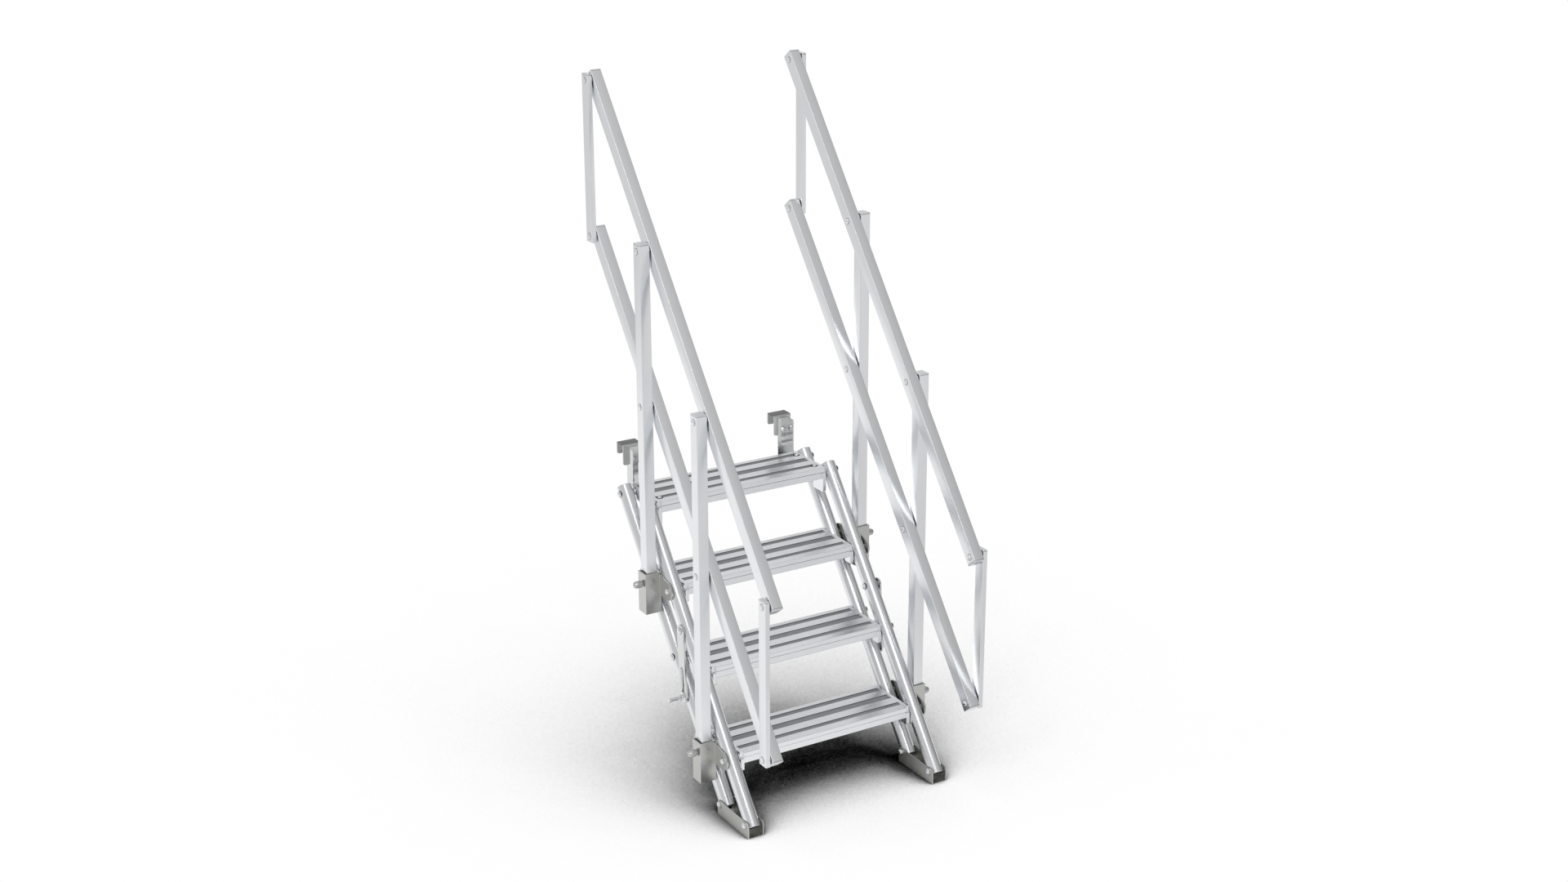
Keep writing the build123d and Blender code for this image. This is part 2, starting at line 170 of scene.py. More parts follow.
class NodeTree:
    """Short ways to add nodes to a material's or a group's tree and to link them."""

    def __init__(self, tree: bpy.types.NodeTree) -> None:
        """Take the tree that the nodes go into."""
        self.tree = tree

    def add(self, kind: str, inputs: dict[str | int, object] | None = None, **values: object) -> bpy.types.Node:
        """Add one node.

        Args:
            kind: The node's type name.
            inputs: A socket or a plain value for each input, by its name or number.
            values: Properties of the node to set.

        Returns:
            The new node.
        """
        node = self.tree.nodes.new(kind)
        for name, value in values.items():
            setattr(node, name, value)
        for name, value in (inputs or {}).items():
            if isinstance(value, Socket):
                self.tree.links.new(value, node.inputs[name])
            else:
                node.inputs[name].default_value = value
        return node

    def place(self) -> Socket:
        """Give the place on the object."""
        return self.add("ShaderNodeTexCoord").outputs["Object"]

    def split(self, value: Socket) -> Outputs:
        """Take a vector apart into X, Y and Z."""
        return self.add("ShaderNodeSeparateXYZ", {0: value}).outputs

    def rays(self) -> Outputs:
        """Give the masks of the kinds of ray."""
        return self.add("ShaderNodeLightPath").outputs

    def math(self, operation: str, first: object, second: object = 0.5) -> Socket:
        """Work on two sockets or numbers."""
        return self.add("ShaderNodeMath", {0: first, 1: second}, operation=operation).outputs[0]

    def vector(self, operation: str, first: object, second: object) -> Outputs:
        """Work on two vectors."""
        return self.add("ShaderNodeVectorMath", {0: first, 1: second}, operation=operation).outputs

    def remap(self, value: Socket, low: float, high: float) -> Socket:
        """Spread a 0 to 1 value between two levels."""
        return self.add("ShaderNodeMapRange", {"Value": value, "To Min": low, "To Max": high}).outputs["Result"]

    def soften(self, value: Socket, low: float, high: float) -> Socket:
        """Turn the values from low to high into a smooth 0 to 1."""
        inputs = {"Value": value, "From Min": low, "From Max": high}
        return self.add("ShaderNodeMapRange", inputs, interpolation_type="SMOOTHSTEP").outputs["Result"]

    def noise(self, place: Socket, scale: object, detail: float = 2.0) -> Socket:
        """Give a noise from 0 to 1."""
        return self.add("ShaderNodeTexNoise", {"Vector": place, "Scale": scale, "Detail": detail}).outputs["Fac"]

    def mix(self, factor: Socket, first: object, second: object) -> Socket:
        """Mix two colours, each a socket or a linear colour."""
        colours = [(*value, 1.0) if isinstance(value, tuple) else value for value in (first, second)]
        inputs = dict(zip(MIX_INPUTS, (factor, *colours)))
        return self.add("ShaderNodeMix", inputs, data_type="RGBA").outputs[MIX_RESULT]

    def blend(self, mask: Socket, first: bpy.types.Node, second: bpy.types.Node) -> Socket:
        """Blend two shaders, the second where the mask is 1."""
        return self.add("ShaderNodeMixShader", {"Fac": mask, 1: first.outputs[0], 2: second.outputs[0]}).outputs[0]


class EffectGroup:
    """A shader node group with named inputs and outputs, built once and placed in many materials."""

    def __init__(self, name: str, inputs: dict[str, float], outputs: tuple[str, ...]) -> None:
        """Make the group's tree and sockets.

        Args:
            name: The group's name.
            inputs: Name and default of each number input.
            outputs: Name of each output, a vector if it is the normal and a number if not.
        """
        self.tree = bpy.data.node_groups.new(name, "ShaderNodeTree")
        for label, default in inputs.items():
            socket = self.tree.interface.new_socket(name=label, in_out="INPUT", socket_type="NodeSocketFloat")
            socket.default_value = default
        for label in outputs:
            kind = "NodeSocketVector" if label == "Normal" else "NodeSocketFloat"
            self.tree.interface.new_socket(name=label, in_out="OUTPUT", socket_type=kind)
        self.nodes = NodeTree(self.tree)
        self.source = self.nodes.add("NodeGroupInput").outputs

    def put_out(self, **results: Socket) -> None:
        """Send sockets to the group's outputs."""
        self.nodes.add("NodeGroupOutput", results)

    def place(self, owner: NodeTree, **values: float) -> Outputs:
        """Place the group in a material's tree, with an underscore for each space in an input's name."""
        inputs = {name.replace("_", " "): value for name, value in values.items()}
        return owner.add("ShaderNodeGroup", inputs, node_tree=self.tree).outputs


def build_draw_lines() -> EffectGroup:
    """Build the fine lines that drawing, extruding or brushing leaves along a piece.

    Returns:
        A group that puts out a line height, a slow cloud and a fine grain, each from 0 to 1.
    """
    group = EffectGroup(
        "draw_lines",
        {"Along X": 0.0, "Along Y": 0.0, "Along Z": 1.0, "Line Scale": 900.0, "Cloud Scale": 9.0},
        ("Lines", "Clouds", "Grain"),
    )
    nodes, source = group.nodes, group.source
    stretch, grain_scale = 0.985, 1400.0
    place = nodes.place()
    along = nodes.add("ShaderNodeCombineXYZ", {axis: source[f"Along {axis}"] for axis in "XYZ"}).outputs[0]
    kept = nodes.math("MULTIPLY", nodes.vector("DOT_PRODUCT", place, along)["Value"], stretch)
    slide = nodes.add("ShaderNodeVectorMath", {0: along, "Scale": kept}, operation="SCALE")
    flat = nodes.vector("SUBTRACT", place, slide.outputs[0])[0]
    group.put_out(
        Lines=nodes.noise(flat, source["Line Scale"], 3.0),
        Clouds=nodes.noise(place, source["Cloud Scale"], 4.0),
        Grain=nodes.noise(place, grain_scale),
    )
    return group


def build_edge_wear() -> EffectGroup:
    """Build a mask of the edges of a piece, which rubbing and a painted highlight make lighter.

    Returns:
        A group that puts out an edge mask and a rounded normal.
    """
    group = EffectGroup("edge_wear", {"Radius": 0.0015, "Raggedness": 140.0}, ("Edge", "Normal"))
    nodes, source = group.nodes, group.source
    strength = 6.0
    rounded = nodes.add("ShaderNodeBevel", {"Radius": source["Radius"]}, samples=4).outputs[0]
    flat = nodes.add("ShaderNodeNewGeometry").outputs["Normal"]
    turn = nodes.math("SUBTRACT", 1.0, nodes.vector("DOT_PRODUCT", rounded, flat)["Value"])
    ragged = nodes.noise(nodes.place(), source["Raggedness"])
    broken = nodes.math("MULTIPLY", nodes.math("MULTIPLY", turn, strength), ragged)
    group.put_out(Edge=nodes.add("ShaderNodeClamp", {0: broken}).outputs[0], Normal=rounded)
    return group


def build_spangle() -> EffectGroup:
    """Build the crystal pattern of hot-dip zinc.

    Returns:
        A group that puts out a crystal tone and a soft stain, each from 0 to 1.
    """
    group = EffectGroup("zinc_spangle", {"Crystal Scale": 160.0, "Stain Scale": 14.0}, ("Crystal", "Stain"))
    nodes, source = group.nodes, group.source
    place = nodes.place()
    crystal = nodes.add("ShaderNodeTexVoronoi", {"Vector": place, "Scale": source["Crystal Scale"]})
    parts = nodes.add("ShaderNodeSeparateColor", {0: crystal.outputs["Color"]})
    group.put_out(Crystal=parts.outputs["Red"], Stain=nodes.noise(place, source["Stain Scale"], 5.0))
    return group


@dataclass(frozen=True)
class Effects:
    """The shared node groups."""

    lines: EffectGroup
    edge: EffectGroup
    spangle: EffectGroup


@dataclass(frozen=True)
class Pattern:
    """What a finish draws on its surface.

    Attributes:
        colour: The colour before the edges are lightened by rubbing and a painted highlight.
        gloss: Where it is rougher, from 0 to 1.
        height: The relief, from 0 to 1.
        depth: The relief's depth.
    """

    colour: Socket
    gloss: Socket
    height: Socket
    depth: float


@dataclass(frozen=True)
class Finish:
    """A finish of two tones with varying roughness, a fine relief and edges lightened by rubbing and a painted
    highlight.

    Attributes:
        name: The material's name.
        light: Linear colour of the bright parts.
        dark: Linear colour of the dull parts.
        smooth: Lowest roughness.
        rough: Highest roughness.
        edge_radius: Radius of the edges' rounding and of their lighter band.
        wear: How strongly the lighter edges show, from rubbing and a painted highlight.
        rubbed: Linear colour of the edges, lightened by rubbing and a painted highlight.
        metallic: 1 for metal, 0 for rubber or plastic.
    """

    name: str
    light: Triple
    dark: Triple
    smooth: float
    rough: float
    edge_radius: float = 0.0012
    wear: float = 0.6
    rubbed: Triple = tone(250, 250, 252)
    metallic: float = 1.0

    def pattern(self, nodes: NodeTree, effects: Effects) -> Pattern:
        """Draw the finish's own pattern."""
        raise NotImplementedError

    def build(self, effects: Effects) -> Material:
        """Make the material.

        Args:
            effects: The shared node groups.

        Returns:
            The finished material.
        """
        material = bpy.data.materials.new(self.name)
        material.use_nodes = True
        nodes = NodeTree(material.node_tree)
        surface = material.node_tree.nodes["Principled BSDF"].inputs
        surface["Metallic"].default_value = self.metallic
        pattern = self.pattern(nodes, effects)
        edge = effects.edge.place(nodes, Radius=self.edge_radius)
        # The edges take a lighter colour: partly rubbing, partly a painted highlight.
        lightened_edges = nodes.mix(nodes.remap(edge["Edge"], 0.0, self.wear), pattern.colour, self.rubbed)
        bump = {"Distance": pattern.depth, "Height": pattern.height, "Normal": edge["Normal"]}
        links = nodes.tree.links
        links.new(lightened_edges, surface["Base Color"])
        links.new(nodes.remap(pattern.gloss, self.smooth, self.rough), surface["Roughness"])
        links.new(nodes.add("ShaderNodeBump", bump).outputs[0], surface["Normal"])
        return material


@dataclass(frozen=True)
class DrawnAluminium(Finish):
    """Extruded, drawn or brushed aluminium with lines along its length.

    Attributes:
        axis: The direction of the lines.
        line_depth: Depth of the lines.
        line_scale: How many lines there are across.
        streak: How strongly the lines show.
    """

    axis: Axis = Axis.UPRIGHT
    line_depth: float = 0.00002
    line_scale: float = 700.0
    streak: float = 0.25

    def pattern(self, nodes: NodeTree, effects: Effects) -> Pattern:
        """Draw lines along the piece over slow clouds.

        Args:
            nodes: The material's nodes.
            effects: The shared node groups.

        Returns:
            The pattern.
        """
        x, y, z = self.axis.value
        lines = effects.lines.place(nodes, Along_X=x, Along_Y=y, Along_Z=z, Line_Scale=self.line_scale)
        clouded = nodes.mix(lines["Clouds"], self.light, self.dark)
        streaked = nodes.mix(nodes.remap(lines["Lines"], 0.0, self.streak), clouded, self.dark)
        return Pattern(streaked, lines["Lines"], lines["Lines"], self.line_depth)


@dataclass(frozen=True)
class ZincSteel(Finish):
    """Dull zinc-coated steel plate with faint crystals and stains.

    Attributes:
        edge_radius: Radius of the edges' rounding and of their lighter band.
        wear: How strongly the lighter edges show, from rubbing and a painted highlight.
        rubbed: Linear colour of the edges, lightened by rubbing and a painted highlight.
        crystal_scale: How many crystals there are to a metre.
        crystal_share: How strongly the crystals show.
        stain_share: How strongly the stains show.
        grain_depth: Depth of the grain.
    """

    edge_radius: float = 0.001
    wear: float = 0.5
    rubbed: Triple = tone(236, 236, 232)
    crystal_scale: float = 160.0
    crystal_share: float = 0.1
    stain_share: float = 0.4
    grain_depth: float = 0.000004

    def pattern(self, nodes: NodeTree, effects: Effects) -> Pattern:
        """Draw crystals and stains over a fine grain.

        Args:
            nodes: The material's nodes.
            effects: The shared node groups.

        Returns:
            The pattern.
        """
        zinc = effects.spangle.place(nodes, Crystal_Scale=self.crystal_scale)
        plated = nodes.mix(nodes.remap(zinc["Crystal"], 0.0, self.crystal_share), self.light, self.dark)
        stained = nodes.mix(nodes.remap(zinc["Stain"], 0.0, self.stain_share), plated, self.dark)
        return Pattern(stained, zinc["Stain"], effects.lines.place(nodes)["Grain"], self.grain_depth)


@dataclass(frozen=True)
class DarkPolymer(Finish):
    """Black rubber or plastic with dust and a fine moulded grain.

    Attributes:
        edge_radius: Radius of the edges' rounding and of their lighter band.
        wear: How strongly the lighter edges show, from rubbing and a painted highlight.
        metallic: 0, as it is no metal.
        dust_scale: How many dusty clouds there are to a metre.
        grain_depth: Depth of the grain.
    """

    edge_radius: float = 0.0006
    wear: float = 0.4
    metallic: float = 0.0
    dust_scale: float = 40.0
    grain_depth: float = 0.00008

    def pattern(self, nodes: NodeTree, effects: Effects) -> Pattern:
        """Draw dust over a moulded grain.

        Args:
            nodes: The material's nodes.
            effects: The shared node groups.

        Returns:
            The pattern.
        """
        lines = effects.lines.place(nodes, Cloud_Scale=self.dust_scale)
        dusty = nodes.mix(lines["Clouds"], self.dark, self.light)
        return Pattern(dusty, lines["Grain"], lines["Grain"], self.grain_depth)


class Look(Enum):
    """The stair's finishes, named for what wears them."""

    TREAD = DrawnAluminium(
        "extruded_tread", tone(247, 248, 250), tone(238, 240, 243), 0.2, 0.34, axis=Axis.ACROSS, line_scale=300.0
    )
    # The grooves and the lip's underside: a darker colour of painted shade.
    GROOVE = DrawnAluminium(
        "ribbed_groove", tone(166, 168, 170), tone(148, 151, 153), 0.26, 0.42,
        edge_radius=0.0004, axis=Axis.ACROSS, line_depth=0.00003, line_scale=300.0,
    )
    TUBE = DrawnAluminium(
        "polished_tube", tone(240, 241, 243), tone(230, 231, 234), 0.22, 0.32,
        axis=Axis.SLOPE, line_depth=0.000004, line_scale=500.0,
    )
    POST = DrawnAluminium(
        "satin_post", tone(242, 244, 246), tone(234, 236, 239), 0.24, 0.34, edge_radius=0.0006, line_depth=0.000005
    )
    RAIL = DrawnAluminium(
        "satin_rail", tone(242, 244, 246), tone(234, 236, 239), 0.2, 0.3,
        edge_radius=0.0005, axis=Axis.SLOPE, line_depth=0.000005,
    )
    # Its wide edge band paints a brighter highlight on the plate's rim.
    BRACKET = ZincSteel("bracket_zinc", tone(202, 202, 199), tone(188, 188, 185), 0.2, 0.3, edge_radius=0.002)
    FOOT = ZincSteel("foot_zinc", tone(206, 206, 202), tone(194, 194, 190), 0.42, 0.55)
    HOOK = ZincSteel(
        "hook_zinc", tone(196, 197, 197), tone(184, 185, 185), 0.12, 0.18, crystal_share=0.04, stain_share=0.2
    )
    # The hooks' tops: a darker colour as painted shade.
    SEAT = ZincSteel("rubbed_hook_top", tone(108, 109, 109), tone(98, 99, 99), 0.2, 0.3)
    LINK = ZincSteel(
        "link_zinc", tone(222, 223, 223), tone(206, 207, 207), 0.12, 0.18, crystal_share=0.04, stain_share=0.2
    )
    BOLT = ZincSteel(
        "bright_zinc", tone(240, 241, 243), tone(212, 214, 216), 0.05, 0.12, edge_radius=0.0004, crystal_scale=900.0
    )
    KNOB = ZincSteel(
        "knob_zinc", tone(198, 199, 198), tone(172, 173, 172), 0.18, 0.32, edge_radius=0.0004, crystal_scale=700.0
    )
    # Black rubber of the plugs; also the painted shade of the socket bushes, the rings round fasteners and the seams'
    # floors.
    DARK = DarkPolymer("black_rubber", tone(48, 48, 50), tone(22, 22, 24), 0.45, 0.7, rubbed=tone(48, 48, 50))


@dataclass(frozen=True)
class Layout:
    """Places and sizes that the sub-assemblies share.

    Attributes:
        middle: X of the stair's middle plane.
        rise: Height from tread to tread.
        going: Distance in Y from tread to tread.
        treads: Number of treads.
        first_pivot: Y and Z of the lowest tread's front pivot.
        pivot_gap: Distance in Y between a tread's two pivots.
        tube_x: Distance of the stringers from the middle plane.
        tube_radius: Outer radius of the stringers.
        tread_half: Half of a tread's length with its end plates.
        plate_thickness: Thickness of a tread's end plate.
        bracket_x: Distance of a socket bracket's inner face from the middle plane.
        bracket_thickness: Thickness of a socket bracket's plate.
        post_x: Distance of a post's inner face from the middle plane.
        rail_x: Distance of a rail's inner face from the middle plane.
        foot_pin: Distance of the foot's pin down the stringer from the lowest pivot.
        shank: Radius of a pivot bolt's shank.
        collar: Radius of the collars that keep pieces apart.
    """

    middle: float = 0.291
    rise: float = 0.225
    going: float = 0.175
    treads: int = 4
    first_pivot: Pair = (-0.769, -0.814)
    pivot_gap: float = 0.158
    tube_x: float = 0.34735
    tube_radius: float = 0.02415
    tread_half: float = 0.32
    plate_thickness: float = 0.012
    bracket_x: float = 0.3721
    bracket_thickness: float = 0.005
    post_x: float = 0.3846
    rail_x: float = 0.3456
    foot_pin: float = 0.212
    shank: float = 0.006
    collar: float = 0.0108

    @property
    def climb(self) -> Vector:
        """The direction up the stringers."""
        return Vector((0.0, self.going, self.rise)).normalized()

    @property
    def pitch(self) -> float:
        """The distance from pivot to pivot along a stringer."""
        return math.hypot(self.rise, self.going)

    @property
    def tube_in(self) -> float:
        """Distance of a stringer's inner side from the middle plane."""
        return self.tube_x - self.tube_radius

    @property
    def tube_out(self) -> float:
        """Distance of a stringer's outer side from the middle plane."""
        return self.tube_x + self.tube_radius

    def pivot(self, number: int) -> Pair:
        """Y and Z of a tread's front pivot, treads counted from the bottom."""
        y, z = self.first_pivot
        return y + (number - 1) * self.going, z + (number - 1) * self.rise

    def on_lane(self, distance: float, lane: Lane) -> Pair:
        """Y and Z on a stringer's axis, at a distance up it from the lowest pivot."""
        spot = self.climb * distance
        return self.first_pivot[0] + spot.y + lane.value * self.pivot_gap, self.first_pivot[1] + spot.z

    def spot(self, side: Side, out: float, place: Pair) -> Vector:
        """A point at a distance outward from the middle plane."""
        return Vector((self.middle + side.value * out, *place))


@dataclass(frozen=True)
class Turned:
    """A form that is turned about an axis.

    Attributes:
        profile: Distance along the axis and radius of each ring.
        points: Points round the axis.
        finish: Material index.
        flutes: Share of the radius at every other pair of points.
    """

    profile: Profile
    points: int = HEAD_POINTS
    finish: int = 0
    flutes: float = 1.0


class Shape:
    """One mesh in the making, from turned, extruded and rounded forms."""

    def __init__(self) -> None:
        """Start an empty mesh."""
        self.mesh = bmesh.new()

    def rings(self, rows: list[list[Vector]], bands: list[int] | None = None, sides: list[int] | None = None) -> None:
        """Skin a row of rings and close both ends.

        Args:
            rows: The rings, each with the same number of points.
            bands: Material index of each band between two rings.
            sides: Material index of each side of a ring, where the sides differ and not the bands.
        """
        loops = [[self.mesh.verts.new(point) for point in row] for row in rows]
        count = len(loops[0])
        bands = bands or [0] * (len(rows) - 1)
        for band, (low, high) in enumerate(zip(loops, loops[1:])):
            for index in range(count):
                after = (index + 1) % count
                face = self.mesh.faces.new((low[index], low[after], high[after], high[index]))
                face.material_index = sides[index] if sides else bands[band]
        for loop, finish in ((loops[0][::-1], bands[0]), (loops[-1], bands[-1])):
            self.mesh.faces.new(loop).material_index = finish

    def turn(self, base: Vector, axis: Vector, *forms: Turned) -> None:
        """Turn forms about one axis.

        Args:
            base: Where the axis starts.
            axis: The axis's direction.
            forms: What is turned.
        """
        axis = axis.normalized()
        first = axis.orthogonal().normalized()
        second = axis.cross(first)
        for form in forms:
            rows = []
            for distance, radius in form.profile:
                row = []
                for index in range(form.points):
                    angle = 2 * math.pi * index / form.points
                    reach = radius * (form.flutes if index % 4 > 1 else 1.0)
                    row.append(base + axis * distance + (first * math.cos(angle) + second * math.sin(angle)) * reach)
                rows.append(row)
            self.rings(rows, [form.finish] * (len(rows) - 1))

    def pin(self, start: Vector, end: Vector, radius: float) -> None:
        """Add a plain round pin between two points."""
        self.turn(start, end - start, Turned(((0.0, radius), ((end - start).length, radius)), PIN_POINTS))

    def bar(self, base: Vector, along: Vector, size: Pair, corner: float, stations: Stations) -> None:
        """Build a bar of rounded rectangular section with steps or rounding along it.

        Args:
            base: Middle of the section where the bar starts.
            along: Direction of the bar.
            size: The section's size in X, and its other size.
            corner: The section's corner radius.
            stations: Distance along, inset of the section, and material index of the band that follows.
        """
        least_radius, steps = 0.0002, 4
        along = along.normalized()
        deep = along.cross(ACROSS)
        rows = []
        for distance, inset, _ in stations:
            row = []
            radius = max(corner - inset, least_radius)
            for turn, (a, b) in enumerate(((1, 1), (-1, 1), (-1, -1), (1, -1))):
                centre = (a * (size[0] / 2 - inset - radius), b * (size[1] / 2 - inset - radius))
                for step in range(steps + 1):
                    angle = math.pi / 2 * (turn + step / steps)
                    across = centre[0] + radius * math.cos(angle)
                    depth = centre[1] + radius * math.sin(angle)
                    row.append(base + along * distance + ACROSS * across + deep * depth)
            rows.append(row)
        self.rings(rows, [finish for _, _, finish in stations[:-1]])


def rounded_end(radius: float, steps: int = 5) -> list[Pair]:
    """Distance from the end and inset of each ring of a rounded end, from the tip inward."""
    angles = [math.pi / 2 * step / steps for step in range(steps + 1)]
    return [(radius * (1 - math.sin(a)), radius * (1 - math.cos(a))) for a in reversed(angles)]


def ended(length: float, tip: float, middle: Stations) -> Stations:
    """Stations of a bar with rounded ends.

    Args:
        length: Length of the bar.
        tip: Radius of the rounded ends.
        middle: The stations between the ends.

    Returns:
        The stations for Shape.bar.
    """
    ends = [(distance, inset, 0) for distance, inset in rounded_end(tip)]
    return ends + middle + [(length - distance, inset, 0) for distance, inset, _ in reversed(ends)]


@dataclass(frozen=True)
class Seam:
    """The groove between a bar and its cap, with its floor painted dark as shade.

    Attributes:
        slant: Length of each of its sides.
        width: Length of its floor.
        depth: Its depth.
    """

    slant: float
    width: float
    depth: float

    def at(self, start: float) -> Stations:
        """Stations of the seam at a distance along a bar."""
        stops = [start, start + self.slant, start + self.slant + self.width, start + 2 * self.slant + self.width]
        # The groove's floor takes finish 1, the dark one, as painted shade.
        return list(zip(stops, (0.0, self.depth, self.depth, 0.0), (0, 1, 0, 0)))


@dataclass(frozen=True)
class Upright:
    """The section of a post or an end bar.

    Attributes:
        size: Its size in X and in Y.
        corner: Radius of its corners.
        cap: Height of its cap.
    """

    size: Pair
    corner: float
    cap: float


@dataclass(frozen=True)
class Fastener:
    """A domed hexagon head on a washer, with a dark line round it as painted shadow.

    Attributes:
        radius: Radius over the hexagon's corners.
        height: Height of the head.
        washer: Radius of the washer.
        thick: Thickness of the washer.
        rim: Rounding of the washer's rim.
        shade: How far the painted shadow line stands out round the washer.
        shade_top: Share of that at the line's top.
        lift: How far the painted shadow line stands over the face.
        shoulder: Share of the height where the dome begins.
        flat: Share of the radius over the hexagon's flats.
        tip: Radius of the dome's tip.
        steps: How many bands the dome has.
    """

    radius: float = 0.0098
    height: float = 0.0075
    washer: float = 0.0112
    thick: float = 0.0014
    rim: float = 0.0003
    shade: float = 0.0012
    shade_top: float = 0.8
    lift: float = 0.0002
    shoulder: float = 0.62
    flat: float = 0.866
    tip: float = 0.0001
    steps: int = 6

    def add(self, shape: Shape, seat: Vector, out: Vector) -> None:
        """Add the head, its washer and the painted shadow line.

        Args:
            shape: The mesh to add to.
            seat: Middle of the face that the washer rests on.
            out: Direction that the head points in.
        """
        rim, thick, washer = self.rim, self.thick, self.washer
        # A dark ring round the washer: a painted shadow.
        line = ((-self.lift, washer + self.shade), (self.lift, washer + self.shade * self.shade_top))
        ring = ((0.0, washer - rim), (rim, washer), (thick - rim, washer), (thick, washer - rim))
        start = self.height * self.shoulder
        dome = []
        for step in range(self.steps + 1):
            angle = math.pi / 2 * step / self.steps
            rise = (self.height - start) * math.sin(angle)
            dome.append((start + rise, self.radius * self.flat * math.cos(angle) + self.tip))
        head = Turned(((thick, self.radius), (start, self.radius)), HEXAGON)
        shape.turn(seat, out, Turned(line, finish=1), Turned(ring), head, Turned(dome))


@dataclass
class Assembly:
    """A group of pieces that are built and dressed together.

    Attributes:
        layout: Shared places and sizes.
        finishes: The materials by look.
    """

    layout: Layout
    finishes: dict[Look, Material]

    def place(
        self, shape: Shape, name: str, like: str, looks: tuple[Look, ...], stands_in: bool = True, sharp: float = 35.0
    ) -> None:
        """Finish a mesh and put it on a body.

        Args:
            shape: The mesh.
            name: The piece's name.
            like: The CAD node that it replaces, or one on the same body.
            looks: Its finishes by material index.
            stands_in: Whether it replaces that node.
            sharp: Angle in degrees over which an edge stays sharp.
        """
        bmesh.ops.recalc_face_normals(shape.mesh, faces=shape.mesh.faces)
        data = bpy.data.meshes.new(name)
        shape.mesh.to_mesh(data)
        shape.mesh.free()
        for polygon in data.polygons:
            polygon.use_smooth = True
        data.set_sharp_from_angle(angle=math.radians(sharp))
        for look in looks:
            data.materials.append(self.finishes[look])
        piece = bpy.data.objects.new(name, data)
        bpy.context.scene.collection.objects.link(piece)
        replaces = (like,) if stands_in else ()
        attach(piece, body_of(frame["nodes"][like])[0])
        if replaces:
            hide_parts(*replaces)
        log.info("%s: %d faces", name, len(data.polygons))


@dataclass
class Treads(Assembly):
    """Four extruded treads with ribbed grooves and a stepped nose, the grooves and the lip's underside painted darker
    as shade.

    Attributes:
        nose_ahead: Distance of the nose ahead of the front pivot.
        below_top: Depth of the pivot under the top.
        depth: Depth of the tread.
        height: Height of the tread.
        edge: Radius of the long edges.
        edge_bend: Share of that radius where the rounding's middle point lies.
        lip_height: Height of the nose's lip.
        lip_step: How far the face under the lip is set back.
        lip_corner: Size of the slanted corner under the lip.
        grooves: Distance behind the nose and width of each groove.
        groove_depth: Depth of the grooves.
        groove_side: Width of a groove's slanted side.
        tooth: Width of one rib in a groove.
        tooth_height: Height of the ribs.
        screws: Distance from the middle plane and behind the pivot of each of the top tread's screws.
        screw: The dark ring round a screw, and its head.
    """

    nose_ahead: float = 0.018
    below_top: float = 0.019
    depth: float = 0.196
    height: float = 0.042
    edge: float = 0.0012
    edge_bend: float = 0.3
    lip_height: float = 0.018
    lip_step: float = 0.008
    lip_corner: float = 0.0026
    grooves: Profile = ((0.041, 0.020), (0.1035, 0.031), (0.165, 0.022))
    groove_depth: float = 0.003
    groove_side: float = 0.0006
    tooth: float = 0.0022
    tooth_height: float = 0.0009
    screws: Profile = ((0.2965, 0.018), (0.2995, 0.141))
    screw: tuple[Turned, ...] = (
        Turned(((-0.001, 0.0116), (0.0002, 0.0116), (0.0006, 0.0104)), finish=1),
        Turned(((0.0006, 0.0076), (0.002, 0.0072), (0.003, 0.006), (0.0036, 0.004), (0.0038, 0.0001))),
    )

    def build(self) -> None:
        """Build every tread in place of its plain solid, and the top tread's screws."""
        plan = self.layout
        half = plan.tread_half - plan.plate_thickness
        section = self.section()
        for number in range(1, plan.treads + 1):
            y, z = plan.pivot(number)
            nose, top = y - self.nose_ahead, z + self.below_top
            rows = [
                [Vector((x, nose + behind, top + over)) for behind, over, _ in section]
                for x in (plan.middle - half, plan.middle + half)
            ]
            shape = Shape()
            shape.rings(rows, sides=[look for _, _, look in section])
            node = f"tread_{number}"
            self.place(shape, f"{node}_board", node, (Look.TREAD, Look.GROOVE), sharp=20.0)
        self.build_screws()

    def section(self) -> Stations:
        """Draw the tread's section.

        Returns:
            Points behind the nose and over the top, each with the finish of the side after it: 0 plain, 1 the darker
            finish, painted shade in the grooves and under the lip.
        """
        edge, bottom, floor, side = self.edge, -self.height, -self.groove_depth, self.groove_side
        soft = edge * self.edge_bend
        points = [(0.0, -edge, 0), (soft, -soft, 0), (edge, 0.0, 0)]
        for middle, width in self.grooves:
            start, end = middle - width / 2, middle + width / 2
            count = round((width - 2 * side) / self.tooth)
            step = (width - 2 * side) / count
            points += [(start, 0.0, 1), (start + side, floor, 1)]
            for index in range(count):
                points.append((start + side + (index + 0.5) * step, floor + self.tooth_height, 1))
                points.append((start + side + (index + 1) * step, floor, 1))
            points.append((end, 0.0, 0))
        points += [(self.depth - edge, 0.0, 0), (self.depth - soft, -soft, 0), (self.depth, -edge, 0)]
        points += [(self.depth, bottom + edge, 0), (self.depth - edge, bottom, 0)]
        points += [(self.lip_step + edge, bottom, 0), (self.lip_step, bottom + edge, 0)]
        # The lip's underside and slanted corner take the darker finish, a painted shadow line under the nose.
        points += [(self.lip_step, -self.lip_height, 1), (self.lip_corner, -self.lip_height, 1)]
        return points + [(0.0, self.lip_corner - self.lip_height, 0)]

    def build_screws(self) -> None:
        """Build the countersunk screws in the top tread's ends."""
        y, z = self.layout.pivot(self.layout.treads)
        shape = Shape()
        for side in Side:
            for out, behind in self.screws:
                seat = self.layout.spot(side, out, (y + behind, z + self.below_top))
                shape.turn(seat, UP, *self.screw)
        self.place(shape, "top_tread_screws", "tread_4", (Look.BOLT, Look.DARK), stands_in=False)


